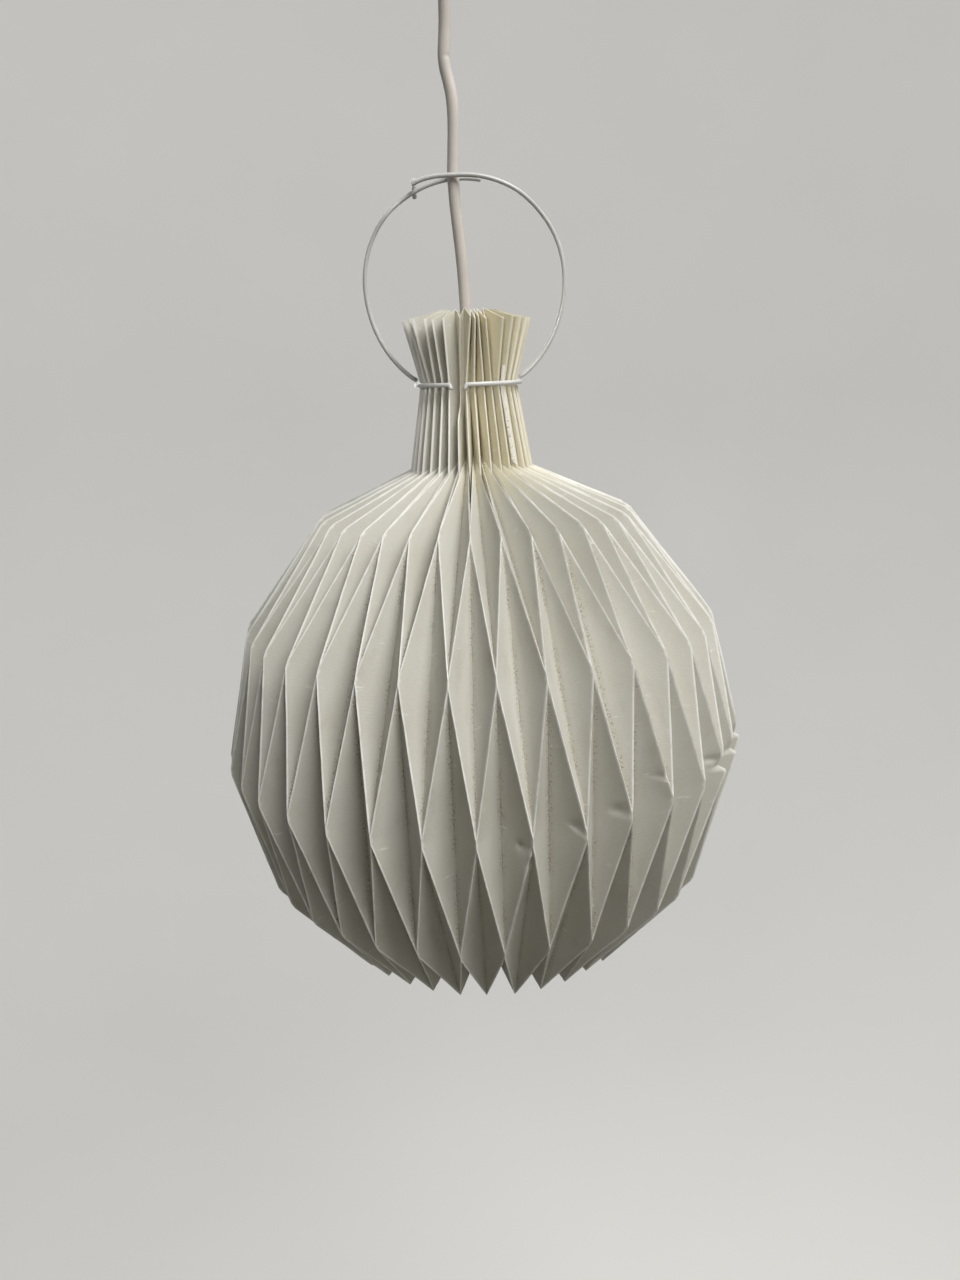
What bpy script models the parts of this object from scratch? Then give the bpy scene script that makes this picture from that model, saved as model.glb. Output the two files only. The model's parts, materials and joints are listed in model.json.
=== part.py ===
"""Pleated paper pendant lantern: folded shade, wire hanger, flex, lampholder, lamp and ceiling cup.

Lengths are in metres and +Z is up. The origin is the middle of the ceiling plate's top face. The flex
hangs from there, and its kink sets the shade's axis a little to the +X side.
"""
import math

import bmesh
import bpy
from mathutils import Matrix, Vector

MM = 0.001

# Clearance that neighbouring pieces keep
GAP = 0.3 * MM

# Shade: heights are measured from the widest ring of folds, radii from the shade's axis
PLEATS = 36
FIRST_PLEAT = math.radians(-1.5)
# Measured across a fold, where the two panels' thicknesses run together
FOLD_THICKNESS = 0.5 * MM
SHADE_DROP = 445.0 * MM
SHADE_OFFSET = 5.0 * MM
STRIP_WIDTH = 18.9 * MM
TOP_TIP_RADIUS = 33.6 * MM
TOP_TIP_HEIGHT = 229.0 * MM
WAIST_TIP_RADIUS = 25.5 * MM
WAIST_HEIGHT = 197.0 * MM
SHOULDER_TIP_RADIUS = 35.2 * MM
SHOULDER_TIP_HEIGHT = 138.0 * MM
SHOULDER_NOTCH_RADIUS = 12.5 * MM
SHOULDER_NOTCH_HEIGHT = 161.5 * MM
RING_1_RADIUS = 80.0 * MM
RING_1_HEIGHT = 129.5 * MM
RING_2_RADIUS = 124.5 * MM
RING_2_HEIGHT = 71.5 * MM
RING_3_RADIUS = 140.0 * MM
RING_4_RADIUS = 124.5 * MM
RING_4_DEPTH = 68.5 * MM
HEM_TIP_RADIUS = 84.0 * MM
HEM_TIP_DEPTH = 117.0 * MM
HEM_NOTCH_RADIUS = 74.0 * MM
HEM_NOTCH_DEPTH = 102.5 * MM

# Seam tape on one panel of the neck
TAPE_PLEAT = 5
TAPE_WIDTH = 3.0 * MM
TAPE_THICKNESS = 0.25 * MM
TAPE_EDGE = 0.6 * MM
TAPE_ABOVE_WAIST = 9.0 * MM
TAPE_BELOW_WAIST = 42.0 * MM

# Wire hanger
WIRE_RADIUS = 1.15 * MM
COLLAR_START = math.radians(-1.8)
COLLAR_END = math.radians(339.6)
COLLAR_TIP = 2.6 * MM
RING_RADIUS = 51.5 * MM
LEFT_ARM_INSIDE = 1.2 * MM
RING_ABOVE_WAIST = 50.5 * MM
ARM_ARC_START = math.radians(-33.0)
ARM_SPREAD_START = math.radians(38.0)
ARM_SPREAD_END = math.radians(60.0)
RIGHT_ARM_ARC_END = math.radians(117.0)
LEFT_ARM_ARC_END = math.radians(104.0)
ARM_STEP = math.radians(6.0)
HOOK_RISE_START = math.radians(72.0)
HOOK_RISE = 3.2 * MM
HOOK_LEG = 5.0 * MM

# Flex and its two cores
CORD_RADIUS = 3.0 * MM
CORD_STEP = 13.0 * MM
CORE_RADIUS = 0.9 * MM
CORE_SPREAD = 1.4 * MM
CORE_RISE = 2.0 * MM
CORE_LEAD = 0.8 * MM
CORE_STEP = 1.5 * MM

# Ceiling plate, cord clamp and terminal block
PLATE_RADIUS = 26.0 * MM
PLATE_THICKNESS = 2.5 * MM
PLATE_HOLE_RADIUS = 2.1 * MM
PLATE_HOLE_SPACING = 34.0 * MM
BRACKET_WIDTH = 20.0 * MM
BRACKET_THICKNESS = 3.0 * MM
BRACKET_DROP = 20.0 * MM
CLAMP_HEIGHT = 7.0 * MM
CLAMP_THICKNESS = 2.6 * MM
CLAMP_SCREW_RADIUS = 1.4 * MM
CLAMP_SCREW_SPACING = 13.6 * MM
CLAMP_HEAD_RADIUS = 2.6 * MM
CLAMP_HEAD_CROWN = 1.8 * MM
CLAMP_HEAD_HEIGHT = 1.8 * MM
CORD_TOP_DROP = 8.0 * MM
BLOCK_WIDTH = 18.0 * MM
BLOCK_DEPTH = 9.0 * MM
BLOCK_HEIGHT = 9.5 * MM
BLOCK_FORWARD = 15.5 * MM
TERMINAL_SPACING = 8.0 * MM
TERMINAL_SCREW_RADIUS = 1.6 * MM
TERMINAL_SCREW_LENGTH = 6.0 * MM
TERMINAL_SCREW_SHOW = 0.8 * MM

# Ceiling cup
CUP_RADIUS = 31.0 * MM
CUP_WALL = 2.0 * MM
CUP_HEIGHT = 41.5 * MM
CUP_CORNER = 14.0 * MM
CUP_RIM_DROP = 0.5 * MM
BUSH_SLEEVE_RADIUS = 5.2 * MM
BUSH_SLEEVE_LENGTH = 7.0 * MM
BUSH_RADIUS = 8.0 * MM
BUSH_HEIGHT = 7.0 * MM
BUSH_BEVEL = 1.4 * MM
GRUB_RADIUS = 1.5 * MM
GRUB_LENGTH = 4.0 * MM

# Lampholder: heights run down from the top of its cord nut, which stands above the shade's widest ring
HOLDER_ABOVE_RING = 156.0 * MM
HOLDER_BEVEL = 1.2 * MM
NUT_RADIUS = 6.6 * MM
NUT_HEIGHT = 12.0 * MM
CORD_INTO_HOLDER = 22.0 * MM
CAP_RADIUS = 20.0 * MM
CAP_WALL = 2.0 * MM
CAP_NECK_RADIUS = 7.6 * MM
CAP_DOME_HEIGHT = 18.0 * MM
CAP_SIDE_HEIGHT = 10.0 * MM
INSERT_ABOVE_JOINT = 3.3 * MM
INSERT_HEIGHT = 6.3 * MM
TERMINAL_POST_RADIUS = 2.6 * MM
TERMINAL_POST_HEIGHT = 5.0 * MM
TERMINAL_POST_SPACING = 18.0 * MM
SKIRT_HEIGHT = 26.0 * MM
THREAD_SHELL_RADIUS = 14.4 * MM
THREAD_SHELL_WALL = 0.6 * MM
THREAD_SHELL_HEIGHT = 20.5 * MM
CENTRE_CONTACT_RADIUS = 3.5 * MM
CENTRE_CONTACT_TIP = 2.1 * MM
CENTRE_CONTACT_HEIGHT = 2.0 * MM

# Lamp
LAMP_CONTACT_RADIUS = 4.6 * MM
LAMP_CONTACT_TIP = 3.2 * MM
LAMP_CONTACT_HEIGHT = 1.5 * MM
INSULATOR_TOP_RADIUS = 6.5 * MM
INSULATOR_HEIGHT = 3.6 * MM
THREAD_RUNNING_GAP = 0.4 * MM
LAMP_CAP_WALL = 0.7 * MM
LAMP_CAP_HEIGHT = 22.0 * MM
LAMP_THREADS = 5
LAMP_THREAD_DEPTH = 0.7 * MM
HOUSING_NECK_HEIGHT = 7.0 * MM
HOUSING_HEIGHT = 25.0 * MM
HOUSING_FLARE_HEIGHT = 8.8 * MM
HOUSING_RADIUS = 27.0 * MM
HOUSING_WALL = 1.6 * MM
LED_BOARD_THICKNESS = 1.6 * MM
GLOBE_RADIUS = 30.0 * MM
GLOBE_NECK_RADIUS = 27.0 * MM
GLOBE_WALL = 1.2 * MM

# Facets round turned pieces, and steps along round wires and corners
TURN_STEPS = 24
SMALL_TURN_STEPS = 12
PLATE_STEPS = 48
COLLAR_STEPS = 40
CORNER_STEPS = 6
GLOBE_STEPS = 10


def clear_scene():
    """Remove every object of the scene."""
    for item in list(bpy.data.objects):
        bpy.data.objects.remove(item, do_unlink=True)


def collection(name):
    """Return a new collection linked to the scene."""
    group = bpy.data.collections.new(name)
    bpy.context.scene.collection.children.link(group)
    return group


def material(name, colour, roughness, metallic=0.0):
    """Return a Principled material."""
    made = bpy.data.materials.new(name)
    made.use_nodes = True
    shader = made.node_tree.nodes["Principled BSDF"]
    shader.inputs["Base Color"].default_value = (*colour, 1.0)
    shader.inputs["Roughness"].default_value = roughness
    shader.inputs["Metallic"].default_value = metallic
    return made


def empty(name, place, parent=None):
    """Return an empty that carries a group of pieces."""
    carrier = bpy.data.objects.new(name, None)
    PARTS.objects.link(carrier)
    carrier.parent = parent
    carrier.location = place
    return carrier


def place_piece(name, data, finish, parent, place=(0.0, 0.0, 0.0)):
    """Make the object of one sub-part and return it."""
    piece = bpy.data.objects.new(name, data)
    PARTS.objects.link(piece)
    data.materials.append(finish)
    piece.parent = parent
    piece.location = place
    return piece


def turned(name, profile, finish, parent, place=(0.0, 0.0, 0.0), steps=TURN_STEPS):
    """Turn a profile of (radius, height) points round Z.

    A profile that starts and ends on the axis is open; any other is closed into a ring. It runs down
    its outer side.
    """
    on_axis = profile[0][0] == 0.0 and profile[-1][0] == 0.0
    count = len(profile)
    edges = [(i, i + 1) for i in range(count - 1)]
    if not on_axis:
        edges.append((count - 1, 0))
    mesh = bpy.data.meshes.new(name)
    mesh.from_pydata([(radius, 0.0, height) for radius, height in profile], edges, [])
    piece = place_piece(name, mesh, finish, parent, place)
    screw = piece.modifiers.new("turn", "SCREW")
    screw.axis = "Z"
    screw.angle = 2.0 * math.pi
    screw.steps = steps
    screw.render_steps = steps
    screw.use_merge_vertices = True
    screw.merge_threshold = 0.00001
    screw.use_smooth_shade = True
    return piece


def wire(name, points, radius, finish, parent, place=(0.0, 0.0, 0.0), sides=2):
    """Make a round wire or tube along points, with flat ends."""
    curve = bpy.data.curves.new(name, "CURVE")
    curve.dimensions = "3D"
    curve.bevel_depth = radius
    curve.bevel_resolution = sides
    curve.use_fill_caps = True
    spline = curve.splines.new("POLY")
    spline.points.add(len(points) - 1)
    for target, point in zip(spline.points, points):
        target.co = (*point, 1.0)
    return place_piece(name, curve, finish, parent, place)


def box_mesh(name, size, centre):
    """Return a box mesh of a size about a centre."""
    mesh = bpy.data.meshes.new(name)
    shape = bmesh.new()
    bmesh.ops.create_cube(shape, size=1.0, matrix=Matrix.Translation(centre) @ Matrix.Diagonal((*size, 1.0)))
    shape.to_mesh(mesh)
    shape.free()
    return mesh


def rod_mesh(name, radius, start, end, steps=SMALL_TURN_STEPS):
    """Return a cylinder mesh between two points."""
    start = Vector(start)
    run = Vector(end) - start
    turn = run.to_track_quat("Z", "Y").to_matrix().to_4x4()
    mesh = bpy.data.meshes.new(name)
    shape = bmesh.new()
    bmesh.ops.create_cone(shape, cap_ends=True, segments=steps, radius1=radius, radius2=radius,
                          depth=run.length, matrix=Matrix.Translation(start + run / 2.0) @ turn)
    shape.to_mesh(mesh)
    shape.free()
    return mesh


def shape_with(piece, tool_mesh, operation):
    """Cut a piece with a mesh, or join the mesh to it."""
    tool = bpy.data.objects.new(piece.name + "_tool", tool_mesh)
    CUTTERS.objects.link(tool)
    tool.parent = piece.parent
    tool.location = piece.location
    tool.hide_render = True
    tool.display_type = "WIRE"
    change = piece.modifiers.new(operation.lower(), "BOOLEAN")
    change.operation = operation
    change.object = tool


def smooth_route(points, step):
    """Return points about a step apart on a smooth curve through the route's points."""
    route = [Vector(point) for point in points]
    padded = [2.0 * route[0] - route[1]] + route + [2.0 * route[-1] - route[-2]]
    sampled = []
    for before, start, end, after in zip(padded, padded[1:], padded[2:], padded[3:]):
        pieces = max(1, round((end - start).length / step))
        for i in range(pieces):
            t = i / pieces
            sampled.append(0.5 * (2.0 * start + (end - before) * t
                                  + (2.0 * before - 5.0 * start + 4.0 * end - after) * t ** 2
                                  + (3.0 * start - before - 3.0 * end + after) * t ** 3))
    sampled.append(route[-1])
    return sampled


def ring_point(radius, angle, height):
    """Return the point at an angle round the axis, counted from the front (-Y) towards +X."""
    return Vector((radius * math.sin(angle), -radius * math.cos(angle), height))


def square_notch(tip, next_tip):
    """Return the (radius, height) of a notch one strip width in from a tip, square to the fold."""
    run_radius = next_tip[0] - tip[0]
    run_height = next_tip[1] - tip[1]
    run = math.hypot(run_radius, run_height)
    return (tip[0] + STRIP_WIDTH * run_height / run, tip[1] - STRIP_WIDTH * run_radius / run)


TOP_TIP = (TOP_TIP_RADIUS, TOP_TIP_HEIGHT)
WAIST_TIP = (WAIST_TIP_RADIUS, WAIST_HEIGHT)
SHOULDER_TIP = (SHOULDER_TIP_RADIUS, SHOULDER_TIP_HEIGHT)
TOP_NOTCH = square_notch(TOP_TIP, WAIST_TIP)
WAIST_NOTCH = square_notch(WAIST_TIP, SHOULDER_TIP)
# Folds that stand out on the neck, then dip between the ridges of the body
TIP_FOLD = (TOP_TIP, WAIST_TIP, SHOULDER_TIP, (RING_1_RADIUS, RING_1_HEIGHT), (RING_3_RADIUS, 0.0),
            (HEM_TIP_RADIUS, -HEM_TIP_DEPTH))
# Folds that dip all the way down
NOTCH_FOLD = (TOP_NOTCH, WAIST_NOTCH, (SHOULDER_NOTCH_RADIUS, SHOULDER_NOTCH_HEIGHT),
              (RING_2_RADIUS, RING_2_HEIGHT), (RING_4_RADIUS, -RING_4_DEPTH),
              (HEM_NOTCH_RADIUS, -HEM_NOTCH_DEPTH))


def pleat_angle(column):
    """Return the angle of a fold; even columns are tips, odd ones notches."""
    return FIRST_PLEAT + column * math.pi / PLEATS


def make_shade_sheet(parent, finish):
    """Fold the sheet: one strip of panels between each pair of neighbouring folds, then its thickness."""
    shape = bmesh.new()
    columns = []
    for column in range(2 * PLEATS):
        fold = NOTCH_FOLD if column % 2 else TIP_FOLD
        columns.append([shape.verts.new(ring_point(radius, pleat_angle(column), height))
                        for radius, height in fold])
    for column in range(2 * PLEATS):
        right = columns[(column + 1) % (2 * PLEATS)]
        tips, notches = (right, columns[column]) if column % 2 else (columns[column], right)
        panels = [(tips[0], tips[1], notches[1]), (tips[0], notches[1], notches[0]),
                  (tips[1], tips[2], notches[1]), (tips[2], notches[2], notches[1])]
        # Below the shoulder the ridges cross each strip from fold to fold
        panels.append((tips[2], tips[3], notches[2]))
        for ring in range(3, 6):
            panels.append((notches[ring - 1], tips[ring], notches[ring]))
            if ring < 5:
                panels.append((tips[ring], tips[ring + 1], notches[ring]))
        for panel in panels:
            shape.faces.new(panel if column % 2 == 0 else panel[::-1])
    bmesh.ops.recalc_face_normals(shape, faces=shape.faces)
    mesh = bpy.data.meshes.new("shade_sheet")
    shape.to_mesh(mesh)
    shape.free()
    sheet = place_piece("shade_sheet", mesh, finish, parent)
    thickness = sheet.modifiers.new("thickness", "SOLIDIFY")
    thickness.thickness = FOLD_THICKNESS
    thickness.offset = 0.0


def make_seam_tape(parent, finish):
    """Lay the glued strip on the front flank of one neck pleat, just in from its fold."""
    column = 2 * TAPE_PLEAT
    share = TAPE_ABOVE_WAIST / (TOP_TIP_HEIGHT - WAIST_HEIGHT)
    drop = TAPE_BELOW_WAIST / (WAIST_HEIGHT - SHOULDER_TIP_HEIGHT)
    lift = FOLD_THICKNESS / 2.0 + GAP + TAPE_THICKNESS / 2.0

    def fold_point(fold, angle, start, end, t):
        radius = fold[start][0] + (fold[end][0] - fold[start][0]) * t
        height = fold[start][1] + (fold[end][1] - fold[start][1]) * t
        return ring_point(radius, angle, height)

    rows = []
    for start, end, t in ((1, 0, share), (1, 2, 0.0), (1, 2, drop)):
        tip = fold_point(TIP_FOLD, pleat_angle(column), start, end, t)
        notch = fold_point(NOTCH_FOLD, pleat_angle(column - 1), start, end, t)
        inward = (notch - tip).normalized()
        face = ring_point(1.0, pleat_angle(column) - math.pi / 2.0, 0.0)
        face = (face - inward * face.dot(inward)).normalized()
        rows.append([tip + inward * TAPE_EDGE + face * lift,
                     tip + inward * (TAPE_EDGE + TAPE_WIDTH) + face * lift])
    shape = bmesh.new()
    corners = [[shape.verts.new(point) for point in row] for row in rows]
    for upper, lower in zip(corners, corners[1:]):
        shape.faces.new((upper[0], upper[1], lower[1], lower[0]))
    mesh = bpy.data.meshes.new("seam_tape")
    shape.to_mesh(mesh)
    shape.free()
    tape = place_piece("seam_tape", mesh, finish, parent)
    thickness = tape.modifiers.new("thickness", "SOLIDIFY")
    thickness.thickness = TAPE_THICKNESS
    thickness.offset = 0.0


COLLAR_RADIUS = WAIST_TIP_RADIUS + FOLD_THICKNESS / 2.0 + 2.0 * GAP + WIRE_RADIUS
PIVOT_HEIGHT = WAIST_HEIGHT + 2.0 * WIRE_RADIUS + GAP
RING_HEIGHT = WAIST_HEIGHT + RING_ABOVE_WAIST
GRIP_SPREAD = CORD_RADIUS + GAP + WIRE_RADIUS


def make_collar(parent, finish):
    """Bend the collar wire round the waist, open at the front, with both tips turned down."""
    slope = (SHOULDER_TIP_RADIUS - WAIST_TIP_RADIUS) / (WAIST_HEIGHT - SHOULDER_TIP_HEIGHT)
    turn = (COLLAR_END - COLLAR_START) / COLLAR_STEPS
    arc = [ring_point(COLLAR_RADIUS, COLLAR_START + turn * i, WAIST_HEIGHT)
           for i in range(COLLAR_STEPS + 1)]

    def tip(angle):
        return ring_point(COLLAR_RADIUS + slope * COLLAR_TIP, angle, WAIST_HEIGHT - COLLAR_TIP)

    bend = COLLAR_TIP / COLLAR_RADIUS / 2.0
    points = [tip(COLLAR_START - bend)] + arc + [tip(COLLAR_END + bend)]
    wire("collar_spring", points, WIRE_RADIUS, finish, parent)


def arm_points(ring_radius, end_radius, arc_end, spread):
    """Return an arm's points from its foot up round the ring.

    The arm leaves the ring's plane by spread beside the flex, and rises to end_radius at its end.
    """
    def ease(angle, start, end):
        t = min(1.0, max(0.0, (angle - start) / (end - start)))
        return t * t * (3.0 - 2.0 * t)

    steps = round((arc_end - ARM_ARC_START) / ARM_STEP)
    points = [Vector((COLLAR_RADIUS, 0.0, PIVOT_HEIGHT))]
    for i in range(steps + 1):
        angle = ARM_ARC_START + (arc_end - ARM_ARC_START) * i / steps
        radius = ring_radius + (end_radius - ring_radius) * ease(angle, HOOK_RISE_START, arc_end)
        points.append(Vector((radius * math.cos(angle), spread * ease(angle, ARM_SPREAD_START, ARM_SPREAD_END),
                              RING_HEIGHT + radius * math.sin(angle))))
    return points


def make_arm_right(parent, finish):
    """Bend the right arm: in front of the flex, then a hook over the left arm's wire."""
    bridge = RING_RADIUS - LEFT_ARM_INSIDE + 2.0 * WIRE_RADIUS + HOOK_RISE
    points = arm_points(RING_RADIUS, bridge, RIGHT_ARM_ARC_END, -GRIP_SPREAD)
    over = points[-1] + Vector((0.0, GRIP_SPREAD, 0.0))
    rear = GRIP_SPREAD + 2.0 * WIRE_RADIUS + 2.0 * GAP
    points += [over + Vector((0.0, GRIP_SPREAD, 0.0)), over + Vector((0.0, rear, -WIRE_RADIUS)),
               over + Vector((0.0, rear, -HOOK_LEG))]
    pivot = points[0]
    wire("hanger_arm_right", [point - pivot for point in points], WIRE_RADIUS, finish, parent, pivot)


def make_arm_left(parent, finish):
    """Bend the left arm: the right arm's mirror, behind the flex, with a plain end."""
    ring_radius = RING_RADIUS - LEFT_ARM_INSIDE
    points = [Vector((-point.x, point.y, point.z))
              for point in arm_points(ring_radius, ring_radius, LEFT_ARM_ARC_END, GRIP_SPREAD)]
    pivot = points[0]
    wire("hanger_arm_left", [point - pivot for point in points], WIRE_RADIUS, finish, parent, pivot)


# Route of the flex: heights above the widest ring, and how far it stands off the shade's axis in X
CORD_ROUTE = ((-5.0, 430.0), (-5.0, 412.0), (-5.0, 394.0), (-5.0, 380.0), (-5.02, 369.5), (-5.6, 360.5),
              (-6.2, 353.5), (-5.8, 347.5), (-4.5, 341.5), (-3.3, 335.5), (-2.75, 328.0), (-2.85, 319.0),
              (-3.4, 309.0), (-3.9, 299.0), (-3.4, 285.0), (-2.2, 271.0), (-0.9, 254.0), (-0.2, 235.0),
              (0.0, 215.0), (0.0, 195.0), (0.0, 175.0), (0.0, 156.0))
HOLDER_DROP = SHADE_DROP - HOLDER_ABOVE_RING


def make_cord(parent, finish):
    """Run the flex from the ceiling clamp down through the neck into the lampholder."""
    top = -CORD_TOP_DROP
    bottom = -HOLDER_DROP - CORD_INTO_HOLDER
    route = [(SHADE_OFFSET + x * MM, 0.0, z * MM - SHADE_DROP) for x, z in CORD_ROUTE]
    route = [(route[0][0], 0.0, top)] + route + [(SHADE_OFFSET, 0.0, bottom)]
    wire("cord", smooth_route(route, CORD_STEP), CORD_RADIUS, finish, parent, sides=3)


def make_ceiling_plate(parent, finish):
    """Make the plate with two screw holes and the bracket that the flex is clamped to."""
    mesh = rod_mesh("ceiling_plate", PLATE_RADIUS, (0.0, 0.0, -PLATE_THICKNESS), (0.0, 0.0, 0.0),
                    PLATE_STEPS)
    plate = place_piece("ceiling_plate", mesh, finish, parent)
    back = CORD_RADIUS + GAP
    bracket = box_mesh("bracket", (BRACKET_WIDTH, BRACKET_THICKNESS, BRACKET_DROP),
                       (0.0, back + BRACKET_THICKNESS / 2.0, -PLATE_THICKNESS / 2.0 - BRACKET_DROP / 2.0))
    shape_with(plate, bracket, "UNION")
    for side in (-1.0, 1.0):
        x = side * PLATE_HOLE_SPACING / 2.0
        hole = rod_mesh("plate_hole", PLATE_HOLE_RADIUS, (x, 0.0, -2.0 * PLATE_THICKNESS),
                        (x, 0.0, PLATE_THICKNESS))
        shape_with(plate, hole, "DIFFERENCE")
        x = side * CLAMP_SCREW_SPACING / 2.0
        hole = rod_mesh("bracket_hole", CLAMP_SCREW_RADIUS + GAP, (x, 0.0, clamp_height()),
                        (x, back + 2.0 * BRACKET_THICKNESS, clamp_height()))
        shape_with(plate, hole, "DIFFERENCE")


def clamp_height():
    """Return the height of the clamp's middle, at the bracket's lower end."""
    return -PLATE_THICKNESS / 2.0 - BRACKET_DROP + CLAMP_HEIGHT / 2.0


def make_cord_clamp(parent, plastic, steel):
    """Make the clamp bar in front of the flex and the two screws that draw it to the bracket."""
    front = -CORD_RADIUS - GAP
    mesh = box_mesh("cord_clamp", (BRACKET_WIDTH, CLAMP_THICKNESS, CLAMP_HEIGHT),
                    (0.0, front - CLAMP_THICKNESS / 2.0, clamp_height()))
    clamp = place_piece("cord_clamp", mesh, plastic, parent)
    tail = CORD_RADIUS + GAP + BRACKET_THICKNESS
    face = front - CLAMP_THICKNESS - GAP
    for name, side in (("clamp_screw_left", -1.0), ("clamp_screw_right", 1.0)):
        x = side * CLAMP_SCREW_SPACING / 2.0
        hole = rod_mesh("clamp_hole", CLAMP_SCREW_RADIUS + GAP,
                        (x, front - 2.0 * CLAMP_THICKNESS, clamp_height()), (x, 0.0, clamp_height()))
        shape_with(clamp, hole, "DIFFERENCE")
        profile = [(0.0, CLAMP_HEAD_HEIGHT), (CLAMP_HEAD_CROWN, CLAMP_HEAD_HEIGHT),
                   (CLAMP_HEAD_RADIUS, CLAMP_HEAD_HEIGHT / 2.0), (CLAMP_HEAD_RADIUS, 0.0),
                   (CLAMP_SCREW_RADIUS, 0.0), (CLAMP_SCREW_RADIUS, face - tail), (0.0, face - tail)]
        screw = turned(name, profile, steel, parent, (x, face, clamp_height()), SMALL_TURN_STEPS)
        screw.rotation_euler = (math.pi / 2.0, 0.0, 0.0)


def make_terminal_block(parent, plastic, brass, cores):
    """Make the two-pole block under the plate, its screws, and the cores that run to it."""
    top = -PLATE_THICKNESS - GAP
    centre = (0.0, -BLOCK_FORWARD, top - BLOCK_HEIGHT / 2.0)
    mesh = box_mesh("terminal_block", (BLOCK_WIDTH, BLOCK_DEPTH, BLOCK_HEIGHT), centre)
    block = place_piece("terminal_block", mesh, plastic, parent)
    under = top - BLOCK_HEIGHT
    cord_end = -CORD_TOP_DROP + GAP
    entry = -BLOCK_FORWARD + BLOCK_DEPTH / 2.0 + GAP
    middle = (cord_end + centre[2]) / 2.0
    for pole, side, finish in (("neutral", -1.0, cores[0]), ("live", 1.0, cores[1])):
        x = side * TERMINAL_SPACING / 2.0
        head = under + TERMINAL_SCREW_LENGTH - TERMINAL_SCREW_SHOW
        hole = rod_mesh("terminal_hole", TERMINAL_SCREW_RADIUS + GAP,
                        (x, -BLOCK_FORWARD, under - TERMINAL_SCREW_LENGTH), (x, -BLOCK_FORWARD, head + GAP))
        shape_with(block, hole, "DIFFERENCE")
        screw = rod_mesh("terminal_screw_" + pole, TERMINAL_SCREW_RADIUS,
                         (x, -BLOCK_FORWARD, under - TERMINAL_SCREW_SHOW), (x, -BLOCK_FORWARD, head))
        place_piece("terminal_screw_" + pole, screw, brass, parent)
        route = [(side * CORE_SPREAD, 0.0, cord_end), (side * CORE_SPREAD, -CORE_LEAD, cord_end + CORE_RISE),
                 (x, entry / 2.0, middle + 1.5 * CORE_RISE), (x, entry + 2.0 * CORE_LEAD, centre[2]),
                 (x, entry, centre[2])]
        wire("core_" + pole + "_ceiling", smooth_route(route, CORE_STEP), CORE_RADIUS, finish, parent)


def make_ceiling_cup(parent, plastic, steel):
    """Make the cup that covers the plate, the bush that grips the flex and the bush's grub screw."""
    rim = -CUP_RIM_DROP
    floor = rim - CUP_HEIGHT
    bore = BUSH_SLEEVE_RADIUS + GAP
    corner = [math.pi / 2.0 * i / CORNER_STEPS for i in range(CORNER_STEPS + 1)]
    inner_radius = CUP_RADIUS - CUP_WALL
    inner_corner = CUP_CORNER - CUP_WALL
    outer = [(CUP_RADIUS - CUP_CORNER + CUP_CORNER * math.cos(a), floor + CUP_CORNER - CUP_CORNER * math.sin(a))
             for a in corner]
    inner = [(inner_radius - inner_corner + inner_corner * math.cos(a),
              floor + CUP_CORNER - inner_corner * math.sin(a))
             for a in reversed(corner)]
    profile = [(CUP_RADIUS, rim)] + outer + [(bore, floor), (bore, floor + CUP_WALL)] + inner
    profile.append((inner_radius, rim))
    turned("ceiling_cup", profile, plastic, parent)

    flange = floor - GAP
    bush_bore = CORD_RADIUS + GAP
    profile = [(BUSH_SLEEVE_RADIUS, flange + BUSH_SLEEVE_LENGTH), (BUSH_SLEEVE_RADIUS, flange),
               (BUSH_RADIUS, flange), (BUSH_RADIUS, flange - BUSH_HEIGHT + BUSH_BEVEL),
               (BUSH_RADIUS - BUSH_BEVEL, flange - BUSH_HEIGHT), (bush_bore, flange - BUSH_HEIGHT),
               (bush_bore, flange + BUSH_SLEEVE_LENGTH)]
    bush = turned("cup_bush", profile, plastic, parent)
    height = flange - BUSH_HEIGHT / 2.0
    start = bush_bore + GAP
    shape_with(bush, rod_mesh("grub_hole", GRUB_RADIUS + GAP, (0.0, 0.0, height),
                              (0.0, -2.0 * BUSH_RADIUS, height)), "DIFFERENCE")
    screw = rod_mesh("cup_grub_screw", GRUB_RADIUS, (0.0, -start, height), (0.0, -start - GRUB_LENGTH, height))
    place_piece("cup_grub_screw", screw, steel, parent)


CAP_TOP = -NUT_HEIGHT - GAP
CAP_BOTTOM = CAP_TOP - CAP_DOME_HEIGHT - CAP_SIDE_HEIGHT
INSERT_TOP = CAP_BOTTOM + INSERT_ABOVE_JOINT
INSERT_BOTTOM = INSERT_TOP - INSERT_HEIGHT
CONTACT_BOTTOM = INSERT_BOTTOM - GAP - CENTRE_CONTACT_HEIGHT
CAP_BORE = CORD_RADIUS + 2.0 * GAP


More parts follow.
